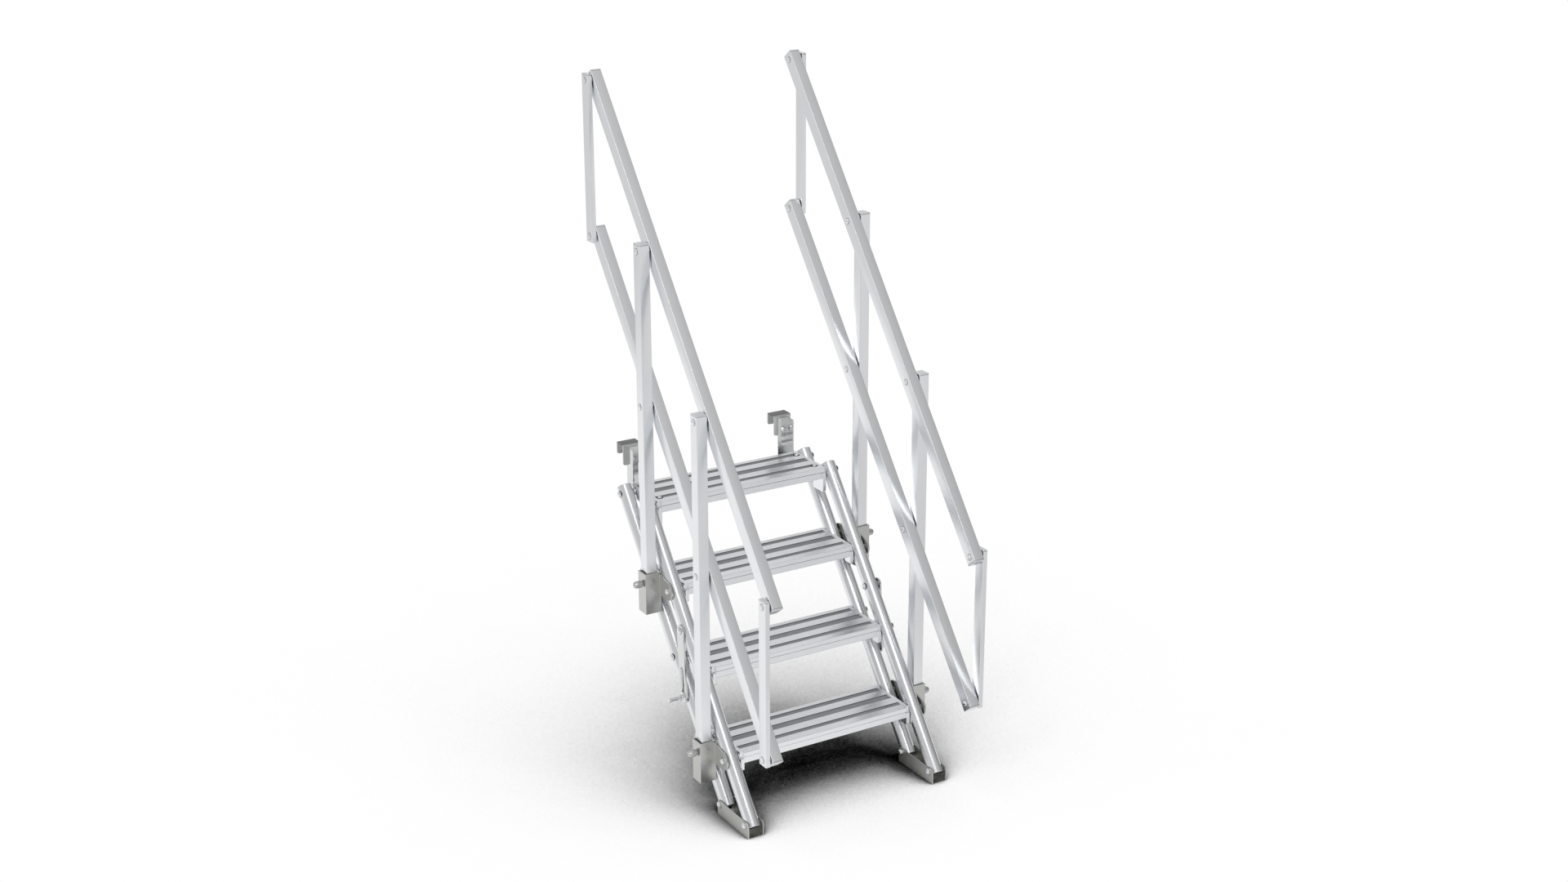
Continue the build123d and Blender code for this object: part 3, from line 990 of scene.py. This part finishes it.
@dataclass
class Stringers(Assembly):
    """Four round tubes with rounded rims and end plugs.

    Attributes:
        below_pin: Length of the tube below the foot's pin.
        above_pivot: Length of the tube above the top pivot.
        rim: Radius of the rim's rounding.
        points: Points round the tube.
        plug: An end plug.
    """

    below_pin: float = 0.013
    above_pivot: float = 0.026
    rim: float = 0.0016
    points: int = 96
    plug: Turned = Turned(
        ((-0.001, 0.0206), (0.0004, 0.0206), (0.001, 0.0198), (0.0013, 0.016), (0.0013, 0.0001)), 48, finish=1
    )

    def build(self) -> None:
        """Build every stringer in place of its plain solid."""
        plan = self.layout
        length = self.below_pin + plan.foot_pin + (plan.treads - 1) * plan.pitch + self.above_pivot
        tip = rounded_end(self.rim)
        profile = [(distance, plan.tube_radius - inset) for distance, inset in tip]
        profile += [(length - distance, plan.tube_radius - inset) for distance, inset in reversed(tip)]
        for side in Side:
            for lane in Lane:
                base = plan.spot(side, plan.tube_x, plan.on_lane(-plan.foot_pin - self.below_pin, lane))
                shape = Shape()
                shape.turn(base, plan.climb, Turned(profile, self.points))
                shape.turn(base, -plan.climb, self.plug)
                shape.turn(base + plan.climb * length, plan.climb, self.plug)
                node = f"{side.label}_{lane.label}_stringer"
                self.place(shape, f"{node}_tube", node, (Look.TUBE, Look.DARK))


@dataclass
class Guards(Assembly):
    """Posts, rails and end bars with closed, rounded ends, and their bolts.

    Attributes:
        post: The posts' section.
        bar: The end bars' section.
        tip: Radius of the ends of posts and bars.
        cap_seam: The seam under the caps of posts and bars.
        rail_size: Width and height of a rail.
        rail_corner: Radius of a rail's corners.
        rail_tip: Radius of a rail's ends.
        rail_seam: The seam behind a rail's caps.
        rail_caps: Distance of the seams' starts from a rail's lower and upper end.
        post_behind: Distance of a post behind its tread's front pivot.
        socket_below: Depth of the socket's floor under the pivot.
        rail_above: Height of the handrail's bolts over the pivots.
        rail_spacing: Distance from handrail to knee rail.
        post_above: Height of a post over the handrail's bolt.
        end_reach: Distance along a rail from a post's bolt to an end bar's.
        overhang: Length of a rail beyond the end bar's bolt.
        bar_overhang: Length of an end bar beyond its bolts.
        shank: Radius of the bolts' shanks.
        head: The bolts' heads.
    """

    post: Upright = Upright((0.036, 0.040), 0.0022, 0.0032)
    bar: Upright = Upright((0.016, 0.040), 0.0018, 0.0028)
    tip: float = 0.0012
    cap_seam: Seam = Seam(0.0003, 0.0009, 0.0005)
    rail_size: Pair = (0.036, 0.044)
    rail_corner: float = 0.0014
    rail_tip: float = 0.003
    rail_seam: Seam = Seam(0.0002, 0.0006, 0.0004)
    rail_caps: Pair = (0.0052, 0.0062)
    post_behind: float = 0.076
    socket_below: float = 0.085
    rail_above: float = 1.109
    rail_spacing: float = 0.5
    post_above: float = 0.024
    end_reach: float = 0.595
    overhang: float = 0.024
    bar_overhang: float = 0.02
    shank: float = 0.0058
    head: Fastener = Fastener(radius=0.0088, height=0.0048, washer=0.0098, thick=0.0008)

    def build(self) -> None:
        """Build both guards."""
        for side in Side:
            for end in End:
                y, z = self.layout.pivot(end.value)
                bottom = z - self.socket_below
                length = z + self.rail_above + self.post_above - bottom
                self.build_upright(side, f"{end.label}_post", (y + self.post_behind, bottom), length, self.post)
                y, top = self.end_bolt(end, Level.HANDRAIL)
                bottom = self.end_bolt(end, Level.KNEE_RAIL)[1] - self.bar_overhang
                length = top + self.bar_overhang - bottom
                self.build_upright(side, f"{end.label}_end_bar", (y, bottom), length, self.bar)
            for level in Level:
                self.build_rail(side, level)
        for level in Level:
            self.build_bolts(level)

    def bolt(self, end: End, level: Level) -> Pair:
        """Y and Z of a rail's bolt on a post."""
        y, z = self.layout.pivot(end.value)
        return y + self.post_behind, z + self.rail_above - level.value * self.rail_spacing

    def end_bolt(self, end: End, level: Level) -> Pair:
        """Y and Z of a rail's bolt on an end bar."""
        (y, z), reach = self.bolt(end, level), self.layout.climb * (end.sense * self.end_reach)
        return y + reach.y, z + reach.z

    def build_upright(self, side: Side, kind: str, foot: Pair, length: float, section: Upright) -> None:
        """Build one post or end bar in place of its plain solid.

        Args:
            side: The guard that it is in.
            kind: Its node's name without the side.
            foot: Y and Z of its lower end.
            length: Its length.
            section: Its section.
        """
        base = self.layout.spot(side, self.layout.post_x + section.size[0] / 2, foot)
        seam = self.cap_seam.at(length - section.cap - self.cap_seam.width - self.cap_seam.slant)
        shape = Shape()
        shape.bar(base, UP, section.size, section.corner, ended(length, self.tip, seam))
        node = f"{side.label}_{kind}"
        self.place(shape, f"{node}_tube", node, (Look.POST, Look.DARK))

    def build_rail(self, side: Side, level: Level) -> None:
        """Build one rail in place of its plain solid.

        Args:
            side: The guard that it is in.
            level: Which of the two rails it is.
        """
        plan = self.layout
        reach = self.end_reach + self.overhang
        start = plan.spot(side, plan.rail_x + self.rail_size[0] / 2, self.bolt(End.LOWER, level)) - plan.climb * reach
        length = 2 * reach + 2 * plan.pitch
        seams = self.rail_seam.at(self.rail_caps[0]) + self.rail_seam.at(length - self.rail_caps[1])
        shape = Shape()
        shape.bar(start, plan.climb, self.rail_size, self.rail_corner, ended(length, self.rail_tip, seams))
        node = f"{side.label}_{level.label}"
        self.place(shape, f"{node}_tube", node, (Look.RAIL, Look.DARK))

    def build_bolts(self, level: Level) -> None:
        """Build the bolts of one pair of rails in place of their plain solids.

        Args:
            level: Which of the two pairs they hold.
        """
        plan = self.layout
        places = [(self.bolt(end, level), self.post.size[0]) for end in End]
        places += [(self.end_bolt(end, level), self.bar.size[0]) for end in End]
        shape = Shape()
        for side in Side:
            for place, width in places:
                outer, inner = plan.spot(side, plan.post_x + width, place), plan.spot(side, plan.rail_x, place)
                rail_face = plan.spot(side, plan.rail_x + self.rail_size[0], place)
                self.head.add(shape, outer, side.out)
                self.head.add(shape, inner, -side.out)
                shape.pin(inner, outer, self.shank)
                shape.pin(rail_face, plan.spot(side, plan.post_x, place), plan.collar)
        self.place(shape, f"{level.label}_fasteners", f"{level.label}_bolts", (Look.BOLT, Look.DARK))


@dataclass
class PivotBolts(Assembly):
    """The shoulder bolts of the two stringer lanes.

    Attributes:
        foot_half: Half of the foot's width.
        head: The bolts' heads.
    """

    foot_half: float = 0.02715
    head: Fastener = Fastener()

    def build(self) -> None:
        """Build both lanes' bolts in place of their plain solids."""
        plan = self.layout
        for lane in Lane:
            shape = Shape()
            for side in Side:
                for index in range(plan.treads):
                    self.add_bolt(shape, side, plan.on_lane(index * plan.pitch, lane), bracket=index % 2 == 0)
                place = plan.on_lane(-plan.foot_pin, lane)
                near = plan.spot(side, plan.tube_x - self.foot_half, place)
                far = plan.spot(side, plan.tube_x + self.foot_half, place)
                shape.pin(near, far, plan.shank)
                self.head.add(shape, near, -side.out)
                self.head.add(shape, far, side.out)
            node = f"{lane.label}_pivot"
            self.place(shape, f"{node}_fasteners", f"{node}_bolts", (Look.BOLT, Look.DARK))

    def add_bolt(self, shape: Shape, side: Side, place: Pair, bracket: bool) -> None:
        """Add a tread's shoulder bolt with its collars and head.

        Args:
            shape: The mesh to add to.
            side: The half of the stair.
            place: Y and Z of the pivot.
            bracket: Whether it also goes through a socket bracket.
        """
        plan = self.layout
        outer = plan.spot(side, plan.bracket_x + plan.bracket_thickness if bracket else plan.tube_out, place)
        shape.pin(plan.spot(side, plan.tread_half - plan.plate_thickness, place), outer, plan.shank)
        shape.pin(plan.spot(side, plan.tread_half, place), plan.spot(side, plan.tube_in, place), plan.collar)
        self.head.add(shape, outer, side.out)
        if bracket:
            shape.pin(plan.spot(side, plan.tube_out, place), plan.spot(side, plan.bracket_x, place), plan.collar)


@dataclass
class PostSockets(Assembly):
    """Clamp knobs of the four post sockets, and dark bushes that fill the gaps as painted shade.

    Attributes:
        guards: The guards, whose posts stand in the sockets.
        above_pivot: Height of the socket's rim over the pivot.
        fit: Gap round the post, across and along.
        wall: Thickness of the socket's wall.
        knob_below: Depth of the clamp screw under the rim.
        shank: Radius of the clamp screw.
        knob: The screw's collar, the knob's grooved grip and its domed end.
        bush_slack: Gap between bush and socket, both sides together.
        bush_below: Depth of the bush's top under the rim.
        bush_height: Height of the bush.
        bush_edge: Size of the bush's corners and of its top edge.
    """

    guards: Guards
    above_pivot: float = 0.049
    fit: Pair = (0.0035, 0.001)
    wall: float = 0.004
    knob_below: float = 0.038
    shank: float = 0.005
    knob: tuple[Turned, ...] = (
        Turned(((0.0, 0.0072), (0.003, 0.0072), (0.0036, 0.0098))),
        Turned(((0.0034, 0.0102), (0.0044, 0.0116), (0.0216, 0.0116), (0.024, 0.0106)), 64, flutes=0.95),
        Turned(((0.0234, 0.0104), (0.0264, 0.0101), (0.0285, 0.0088), (0.02955, 0.0062), (0.03, 0.0001)), 48),
    )
    bush_slack: float = 0.0002
    bush_below: float = 0.0012
    bush_height: float = 0.012
    bush_edge: Pair = (0.001, 0.0006)

    def build(self) -> None:
        """Build the knobs in place of the plain screws, and the bushes."""
        for end in End:
            y, z = self.layout.pivot(end.value)
            post = (y + self.guards.post_behind, z + self.above_pivot)
            self.build_knobs(end, (post[0], post[1] - self.knob_below))
            for side in Side:
                self.build_bush(side, end, post)

    def build_knobs(self, end: End, place: Pair) -> None:
        """Build one pair of clamp screws with grooved knobs.

        Args:
            end: The end of the guards.
            place: Y and Z of the screws.
        """
        plan = self.layout
        post_face = plan.post_x + self.guards.post.size[0]
        shape = Shape()
        for side in Side:
            base = plan.spot(side, post_face + self.fit[0] + self.wall, place)
            shape.pin(plan.spot(side, post_face, place), base, self.shank)
            shape.turn(base, side.out, *self.knob)
        self.place(shape, f"{end.label}_clamp_knobs", f"{end.label}_clamp_screws", (Look.KNOB,))

    def build_bush(self, side: Side, end: End, rim: Pair) -> None:
        """Build the dark bush that fills the gap between a post and its socket, a dark piece standing in for the
        shade in the gap.

        Args:
            side: The guard that it is in.
            end: The end of the guard.
            rim: Y and Z of the middle of the socket's rim.
        """
        wide, deep = self.guards.post.size
        size = (wide + 2 * self.fit[0] - self.bush_slack, deep + 2 * self.fit[1] - self.bush_slack)
        foot = (rim[0], rim[1] - self.bush_below - self.bush_height)
        corner, edge = self.bush_edge
        stations = [(0.0, 0.0, 0), (self.bush_height - edge, 0.0, 0), (self.bush_height, edge, 0)]
        shape = Shape()
        shape.bar(self.layout.spot(side, self.layout.post_x + wide / 2, foot), UP, size, corner, stations)
        node = f"{side.label}_{end.label}"
        # The black bush paints the shade in the gap round the post.
        self.place(shape, f"{node}_bush", f"{node}_socket", (Look.DARK,), stands_in=False)


@dataclass
class LockLinks(Assembly):
    """The bolts and clamp screws of the two lock links.

    Attributes:
        top_distance: Distance of the top bolt up the front stringer.
        gap: Gap between stringer and link.
        thickness: Thickness of the link.
        slot_collar: Radius of the collar in the slot.
        head: The bolts' heads.
        screw: The screw's washer, nut, hub and stub handle.
    """

    top_distance: float = 0.436
    gap: float = 0.001
    thickness: float = 0.006
    slot_collar: float = 0.0095
    head: Fastener = Fastener()
    screw: tuple[Turned, ...] = (
        Turned(((0.0, 0.0158), (0.0004, 0.0162), (0.0016, 0.0162), (0.002, 0.0158)), 40),
        Turned(((0.002, 0.0112), (0.0095, 0.0112), (0.0102, 0.0102)), HEXAGON),
        Turned(((0.0095, 0.0092), (0.015, 0.0092), (0.016, 0.0082)), 40),
        Turned(((0.0155, 0.0058), (0.053, 0.0058), (0.0548, 0.004988), (0.0558, 0.0029), (0.056, 0.0001))),
    )

    def build(self) -> None:
        """Build both groups in place of the plain solids."""
        plan = self.layout
        link_in = plan.tube_out + self.gap
        link_out = link_in + self.thickness
        bolts, screws = Shape(), Shape()
        top = plan.on_lane(self.top_distance, Lane.FRONT)
        low = plan.on_lane(self.top_distance - plan.pitch, Lane.REAR)
        for side in Side:
            for shape, place, collar in ((bolts, top, plan.collar), (screws, low, self.slot_collar)):
                shape.pin(plan.spot(side, plan.tube_in, place), plan.spot(side, link_out, place), plan.shank)
                shape.pin(plan.spot(side, plan.tube_out, place), plan.spot(side, link_in, place), collar)
            self.head.add(bolts, plan.spot(side, link_out, top), side.out)
            self.head.add(bolts, plan.spot(side, plan.tube_in, top), -side.out)
            screws.turn(plan.spot(side, link_out, low), side.out, *self.screw)
        self.place(bolts, "lock_fasteners", "lock_bolts", (Look.BOLT, Look.DARK))
        self.place(screws, "lock_handles", "lock_screws", (Look.BOLT, Look.DARK))


@dataclass
class Hooks(Assembly):
    """Two bent hooks with rounded bends and corners, their tops painted darker as shade, and their bolts.

    Attributes:
        offset: Distance of a hook's middle from the middle plane.
        width: Width of the hook.
        throat: Clear width between the legs.
        thickness: Thickness of the plate.
        leg: Height of the front leg.
        lip: Height of the rear lip.
        bend: Outer radius of the bends.
        corner: Radius of the plate's corners.
        corner_steps: Shares of a corner's height where it has points.
        bend_steps: How many bands a bend has.
        rubbed: How many bands of the plate's top take the darker colour of painted shade.
        bolt_below: Depth of the bolt under the seat.
        web: Thickness of the upright's web.
        shank: Radius of the bolts.
        head: The bolts' heads.
    """

    offset: float = 0.291
    width: float = 0.065
    throat: float = 0.038
    thickness: float = 0.005
    leg: float = 0.072
    lip: float = 0.043
    bend: float = 0.0056
    corner: float = 0.006
    corner_steps: tuple[float, ...] = (0.0, 0.3, 0.7, 1.0)
    bend_steps: int = 8
    rubbed: int = 5
    bolt_below: float = 0.047
    web: float = 0.004
    shank: float = 0.004
    head: Fastener = Fastener(radius=0.0076, height=0.0052, washer=0.0088, thick=0.001)

    def path(self) -> list[tuple[Vector, Vector]]:
        """Trace the plate's outer face.

        Returns:
            Its points from the lip round to the leg, each with the direction out of the plate.
        """
        top, half, bend = self.thickness, self.throat / 2 + self.thickness, self.bend
        stations = []
        for share in self.corner_steps:
            stations.append((Vector((0, half, top - self.lip + self.corner * share)), Vector((0, 1, 0))))
        for start, reach in ((0, half - bend), (1, bend - half)):
            for step in range(self.bend_steps + 1):
                angle = math.pi / 2 * (start + step / self.bend_steps)
                out = Vector((0, math.cos(angle), math.sin(angle)))
                stations.append((Vector((0, reach, top - bend)) + out * bend, out))
        for share in reversed(self.corner_steps):
            stations.append((Vector((0, -half, top - self.leg + self.corner * share)), Vector((0, -1, 0))))
        return stations

    def build(self) -> None:
        """Build both hooks and their bolts in place of the plain solids."""
        stations = self.path()
        count = len(stations)
        # The bands round the top take the second finish, a painted shade.
        bands = [int(abs(2 * index - count + 2) < self.rubbed) for index in range(count - 1)]
        for side in Side:
            middle = Vector((self.layout.middle + side.value * self.offset, 0, 0))
            rows = []
            for index, (outer, out) in enumerate(stations):
                tip = stations[0 if 2 * index < count else -1][0]
                low = min(outer.z - tip.z, self.corner)
                inset = self.corner - math.sqrt(max(self.corner ** 2 - (self.corner - low) ** 2, 0.0))
                wide = Vector((self.width / 2 - inset, 0, 0))
                inner, outer = middle + (outer - out * self.thickness), middle + outer
                rows.append([outer - wide, outer + wide, inner + wide, inner - wide])
            shape = Shape()
            shape.rings(rows, bands)
            node = f"{side.label}_hook"
            self.place(shape, f"{node}_plate", node, (Look.HOOK, Look.SEAT), sharp=30.0)
        self.build_bolts()

    def build_bolts(self) -> None:
        """Build the bolts that hold the hooks to their uprights."""
        leg_back = -self.throat / 2
        shape = Shape()
        for side in Side:
            seat = self.layout.spot(side, self.offset, (leg_back - self.thickness - self.web, -self.bolt_below))
            self.head.add(shape, seat, Vector((0.0, -1.0, 0.0)))
            shape.pin(seat, self.layout.spot(side, self.offset, (leg_back, -self.bolt_below)), self.shank)
        self.place(shape, "hook_fasteners", "hook_bolts", (Look.BOLT, Look.DARK))


@dataclass
class CadDress:
    """Gives the carried-over solids their finishes.

    Attributes:
        finishes: The materials by look.
        words: Words in the nodes' names with their looks; the first that fits counts.
        other: The look of the lock links and the hooks' uprights.
    """

    finishes: dict[Look, Material]
    words: tuple[tuple[str, Look], ...] = (
        ("bolts", Look.BOLT), ("screws", Look.BOLT), ("foot", Look.FOOT), ("socket", Look.BRACKET),
        ("tread", Look.TREAD), ("stringer", Look.TUBE), ("post", Look.POST), ("end_bar", Look.POST),
        ("rail", Look.RAIL),
    )
    other: Look = Look.LINK

    def dress(self, nodes: dict[str, bpy.types.Object]) -> None:
        """Assign every node's material.

        Args:
            nodes: The CAD nodes by name.
        """
        for name, solid in nodes.items():
            look = next((look for word, look in self.words if word in name), self.other)
            solid.data.materials.clear()
            solid.data.materials.append(self.finishes[look])


@dataclass(frozen=True)
class Patch:
    """A soft round patch of the floor, as reflections see it.

    Attributes:
        centre: X and Y of its middle from the stair's middle.
        outer: Radius where it ends.
        inner: Radius up to which it is full.
    """

    centre: Pair
    outer: float
    inner: float

    def mask(self, nodes: NodeTree) -> Socket:
        """Mark the patch in the floor material's nodes."""
        away = nodes.vector("DISTANCE", nodes.place(), (*self.centre, 0.0))["Value"]
        return nodes.soften(away, self.outer, self.inner)


@dataclass
class Studio:
    """White floor that keeps the stair's shadow, a plain surround and one soft lamp.

    Attributes:
        floor_size: Side of the floor.
        floor_grey: How much light the floor throws back on the stair.
        shadow_reach: How far the floor looks for what shades it.
        shadow_samples: How many directions are tried at each point.
        shadow_lean: Direction that the shading is taken from.
        shadow_range: Share of open sky at black and at white.
        shadow_power: Curve of the shadow, and how much softer it is in reflections.
        front_span: Y from far in front to near the stair, where the floor's level changes in reflections.
        front_levels: Level of the floor in reflections at those two places.
        bright: The patch behind on the left that reflects brighter.
        bright_level: Its level.
        dim: The patch close in front that reflects darker.
        dim_drop: How much darker it is.
        sky: Level of the surround.
        right_drop: How much darker the surround is on the right.
        back_gain: How much lighter the surround is behind the stair.
        lamp_offset: Place of the lamp from the stair's middle.
        lamp_size: The lamp's width and length.
        lamp_power: The lamp's power in watts.
    """

    floor_size: float = 60.0
    floor_grey: float = 0.8
    shadow_reach: float = 2.5
    shadow_samples: int = 16
    shadow_lean: Triple = (-0.18, -0.42, 0.88)
    shadow_range: Pair = (0.51, 0.94)
    shadow_power: Pair = (0.85, 0.45)
    front_span: Pair = (-4.5, -0.5)
    front_levels: Pair = (0.8, 0.72)
    bright: Patch = Patch((-1.2, 1.6), 4.0, 1.8)
    bright_level: float = 0.98
    dim: Patch = Patch((0.9, -1.3), 1.6, 0.5)
    dim_drop: float = 0.06
    sky: float = 0.62
    right_drop: float = 0.5
    back_gain: float = 0.18
    lamp_offset: Triple = (-1.3, -2.6, 3.1)
    lamp_size: Pair = (1.5, 4.2)
    lamp_power: float = 46.0

    def build(self, ground: float, middle: Vector) -> None:
        """Build the floor, the surround and the lamp.

        Args:
            ground: Height of the floor.
            middle: A point at the middle of the stair.
        """
        self.build_floor(Vector((middle.x, middle.y, ground)))
        self.build_surround()
        self.build_lamp(middle)

    def build_floor(self, place: Vector) -> None:
        """Build the floor, white to the camera and shaded where the stair covers it.

        Args:
            place: The floor's middle.
        """
        half = self.floor_size / 2
        mesh = bpy.data.meshes.new("floor")
        mesh.from_pydata([(-half, -half, 0), (half, -half, 0), (half, half, 0), (-half, half, 0)], [], [(0, 1, 2, 3)])
        floor = bpy.data.objects.new("floor", mesh)
        floor.location = place
        bpy.context.scene.collection.objects.link(floor)
        material = bpy.data.materials.new("pale_floor")
        material.use_nodes = True
        material.node_tree.nodes.clear()
        nodes = NodeTree(material.node_tree)
        level = nodes.math("MULTIPLY", self.shadow(nodes), self.reflected(nodes))
        shine = nodes.add("ShaderNodeEmission", {"Strength": level})
        plain = nodes.add("ShaderNodeBsdfDiffuse", {"Color": (*[self.floor_grey] * 3, 1.0)})
        rays = nodes.rays()
        seen = nodes.math("MAXIMUM", rays["Is Camera Ray"], rays["Is Glossy Ray"])
        seen = nodes.math("MAXIMUM", seen, rays["Is Transmission Ray"])
        nodes.add("ShaderNodeOutputMaterial", {"Surface": nodes.blend(seen, plain, shine)})
        mesh.materials.append(material)

    def shadow(self, nodes: NodeTree) -> Socket:
        """Shade the floor by how much of the sky the stair hides.

        Args:
            nodes: The floor material's nodes.

        Returns:
            The light that is left, from 0 to 1.
        """
        lean = nodes.add("ShaderNodeCombineXYZ", dict(enumerate(self.shadow_lean))).outputs[0]
        inputs = {"Distance": self.shadow_reach, "Normal": lean}
        hidden = nodes.add("ShaderNodeAmbientOcclusion", inputs, samples=self.shadow_samples)
        power, softer = self.shadow_power
        bend = nodes.math("SUBTRACT", power, nodes.math("MULTIPLY", nodes.rays()["Is Glossy Ray"], softer))
        return nodes.math("POWER", nodes.soften(hidden.outputs["AO"], *self.shadow_range), bend)

    def reflected(self, nodes: NodeTree) -> Socket:
        """Set the floor's level in reflections: bright behind on the left, dimmer close in front.

        Args:
            nodes: The floor material's nodes.

        Returns:
            The level, 1 for every ray that isn't a reflection.
        """
        ahead = nodes.add("ShaderNodeMapRange", {
            "Value": nodes.split(nodes.place())["Y"],
            "From Min": self.front_span[0], "From Max": self.front_span[1],
            "To Min": self.front_levels[0], "To Max": self.front_levels[1],
        }).outputs["Result"]
        gain = nodes.math("MULTIPLY", nodes.math("SUBTRACT", self.bright_level, ahead), self.bright.mask(nodes))
        dip = nodes.math("MULTIPLY", self.dim.mask(nodes), self.dim_drop)
        level = nodes.math("SUBTRACT", nodes.math("ADD", ahead, gain), dip)
        drop = nodes.math("MULTIPLY", nodes.rays()["Is Glossy Ray"], nodes.math("SUBTRACT", 1.0, level))
        return nodes.math("SUBTRACT", 1.0, drop)

    def build_surround(self) -> None:
        """Build the world, white to the camera and a plain grey, darker on the right, to the rest."""
        world = bpy.data.worlds.new("studio")
        bpy.context.scene.world = world
        world.use_nodes = True
        world.node_tree.nodes.clear()
        nodes = NodeTree(world.node_tree)
        x, y, z = nodes.split(nodes.add("ShaderNodeTexCoord").outputs["Generated"])
        low = nodes.math("SUBTRACT", 1.0, nodes.math("ABSOLUTE", z))
        behind = nodes.math("MAXIMUM", y, 0.0)
        right = nodes.math("MULTIPLY", nodes.math("MAXIMUM", x, 0.0), nodes.math("SUBTRACT", 1.0, behind))
        drop = nodes.math("MULTIPLY", nodes.math("MULTIPLY", right, low), self.right_drop)
        gain = nodes.math("MULTIPLY", nodes.math("MULTIPLY", behind, low), self.back_gain)
        level = nodes.math("SUBTRACT", nodes.math("ADD", self.sky, gain), drop)
        white = {"Color": (1.0, 1.0, 1.0, 1.0)}
        around = nodes.add("ShaderNodeBackground", {**white, "Strength": level})
        surface = nodes.blend(nodes.rays()["Is Camera Ray"], around, nodes.add("ShaderNodeBackground", white))
        nodes.add("ShaderNodeOutputWorld", {"Surface": surface})

    def build_lamp(self, middle: Vector) -> None:
        """Build the long soft lamp whose streak runs down the tubes.

        Args:
            middle: A point at the middle of the stair.
        """
        lamp = bpy.data.lights.new("streak_lamp", "AREA")
        lamp.shape = "RECTANGLE"
        lamp.size, lamp.size_y = self.lamp_size
        lamp.energy = self.lamp_power
        place = middle + Vector(self.lamp_offset)
        back = (place - middle).normalized()
        climb = Vector(Axis.SLOPE.value)
        along = (climb - back * climb.dot(back)).normalized()
        stand("streak_lamp", lamp, place, (along.cross(back), along, back))


def stand(name: str, data: bpy.types.ID, place: Vector, axes: tuple[Vector, Vector, Vector]) -> bpy.types.Object:
    """Put a lamp or a camera in the scene.

    Args:
        name: The object's name.
        data: The lamp or camera.
        place: Where it stands.
        axes: The directions of its X, Y and Z axes.

    Returns:
        The new object.
    """
    holder = bpy.data.objects.new(name, data)
    holder.matrix_world = Matrix.Translation(place) @ Matrix(axes).transposed().to_4x4()
    bpy.context.scene.collection.objects.link(holder)
    return holder


@dataclass
class PhotoCamera:
    """The camera that the photograph was taken with, as fitted to it.

    Attributes:
        place: Where the camera stands.
        azimuth: Angle of the view from +Y towards +X, in radians.
        pitch: Angle of the view below the horizon, in radians.
        roll: Turn of the camera about its view, in radians.
        lens: Focal length in millimetres.
        sensor: Width of the sensor in millimetres.
        clip_end: How far the camera sees.
    """

    place: Triple = (-3.0755, -6.1260, 2.3868)
    azimuth: float = 0.540721
    pitch: float = 0.335161
    roll: float = -0.001324
    lens: float = 50.0
    sensor: float = 36.0
    clip_end: float = 200.0

    def build(self) -> None:
        """Create the camera and make it the scene's."""
        flat = math.cos(self.pitch)
        ahead = Vector((math.sin(self.azimuth) * flat, math.cos(self.azimuth) * flat, -math.sin(self.pitch)))
        right = Vector((math.cos(self.azimuth), -math.sin(self.azimuth), 0.0))
        up = right.cross(ahead)
        turned = right * math.cos(self.roll) + up * math.sin(self.roll)
        upright = up * math.cos(self.roll) - right * math.sin(self.roll)
        camera = bpy.data.cameras.new("photo_camera")
        camera.lens = self.lens
        camera.sensor_width = self.sensor
        camera.clip_end = self.clip_end
        bpy.context.scene.camera = stand("photo_camera", camera, Vector(self.place), (turned, upright, -ahead))


def main() -> None:
    """Build the whole scene in order."""
    logging.basicConfig(level=logging.INFO, format="%(name)s: %(message)s")
    bpy.context.scene.view_settings.view_transform = "Standard"
    effects = Effects(build_draw_lines(), build_edge_wear(), build_spangle())
    finishes = {look: look.value.build(effects) for look in Look}
    CadDress(finishes).dress(frame["nodes"])
    layout = Layout()
    guards = Guards(layout, finishes)
    assemblies = (
        Treads(layout, finishes), Stringers(layout, finishes), PivotBolts(layout, finishes), guards,
        PostSockets(layout, finishes, guards), LockLinks(layout, finishes), Hooks(layout, finishes),
    )
    for assembly in assemblies:
        assembly.build()
        log.info("built %s", type(assembly).__name__)
    low, high = cad_box
    Studio().build(low[2], (Vector(low) + Vector(high)) / 2)
    PhotoCamera().build()
    log.info("camera and studio are in place")


if __name__ == "__main__":
    main()
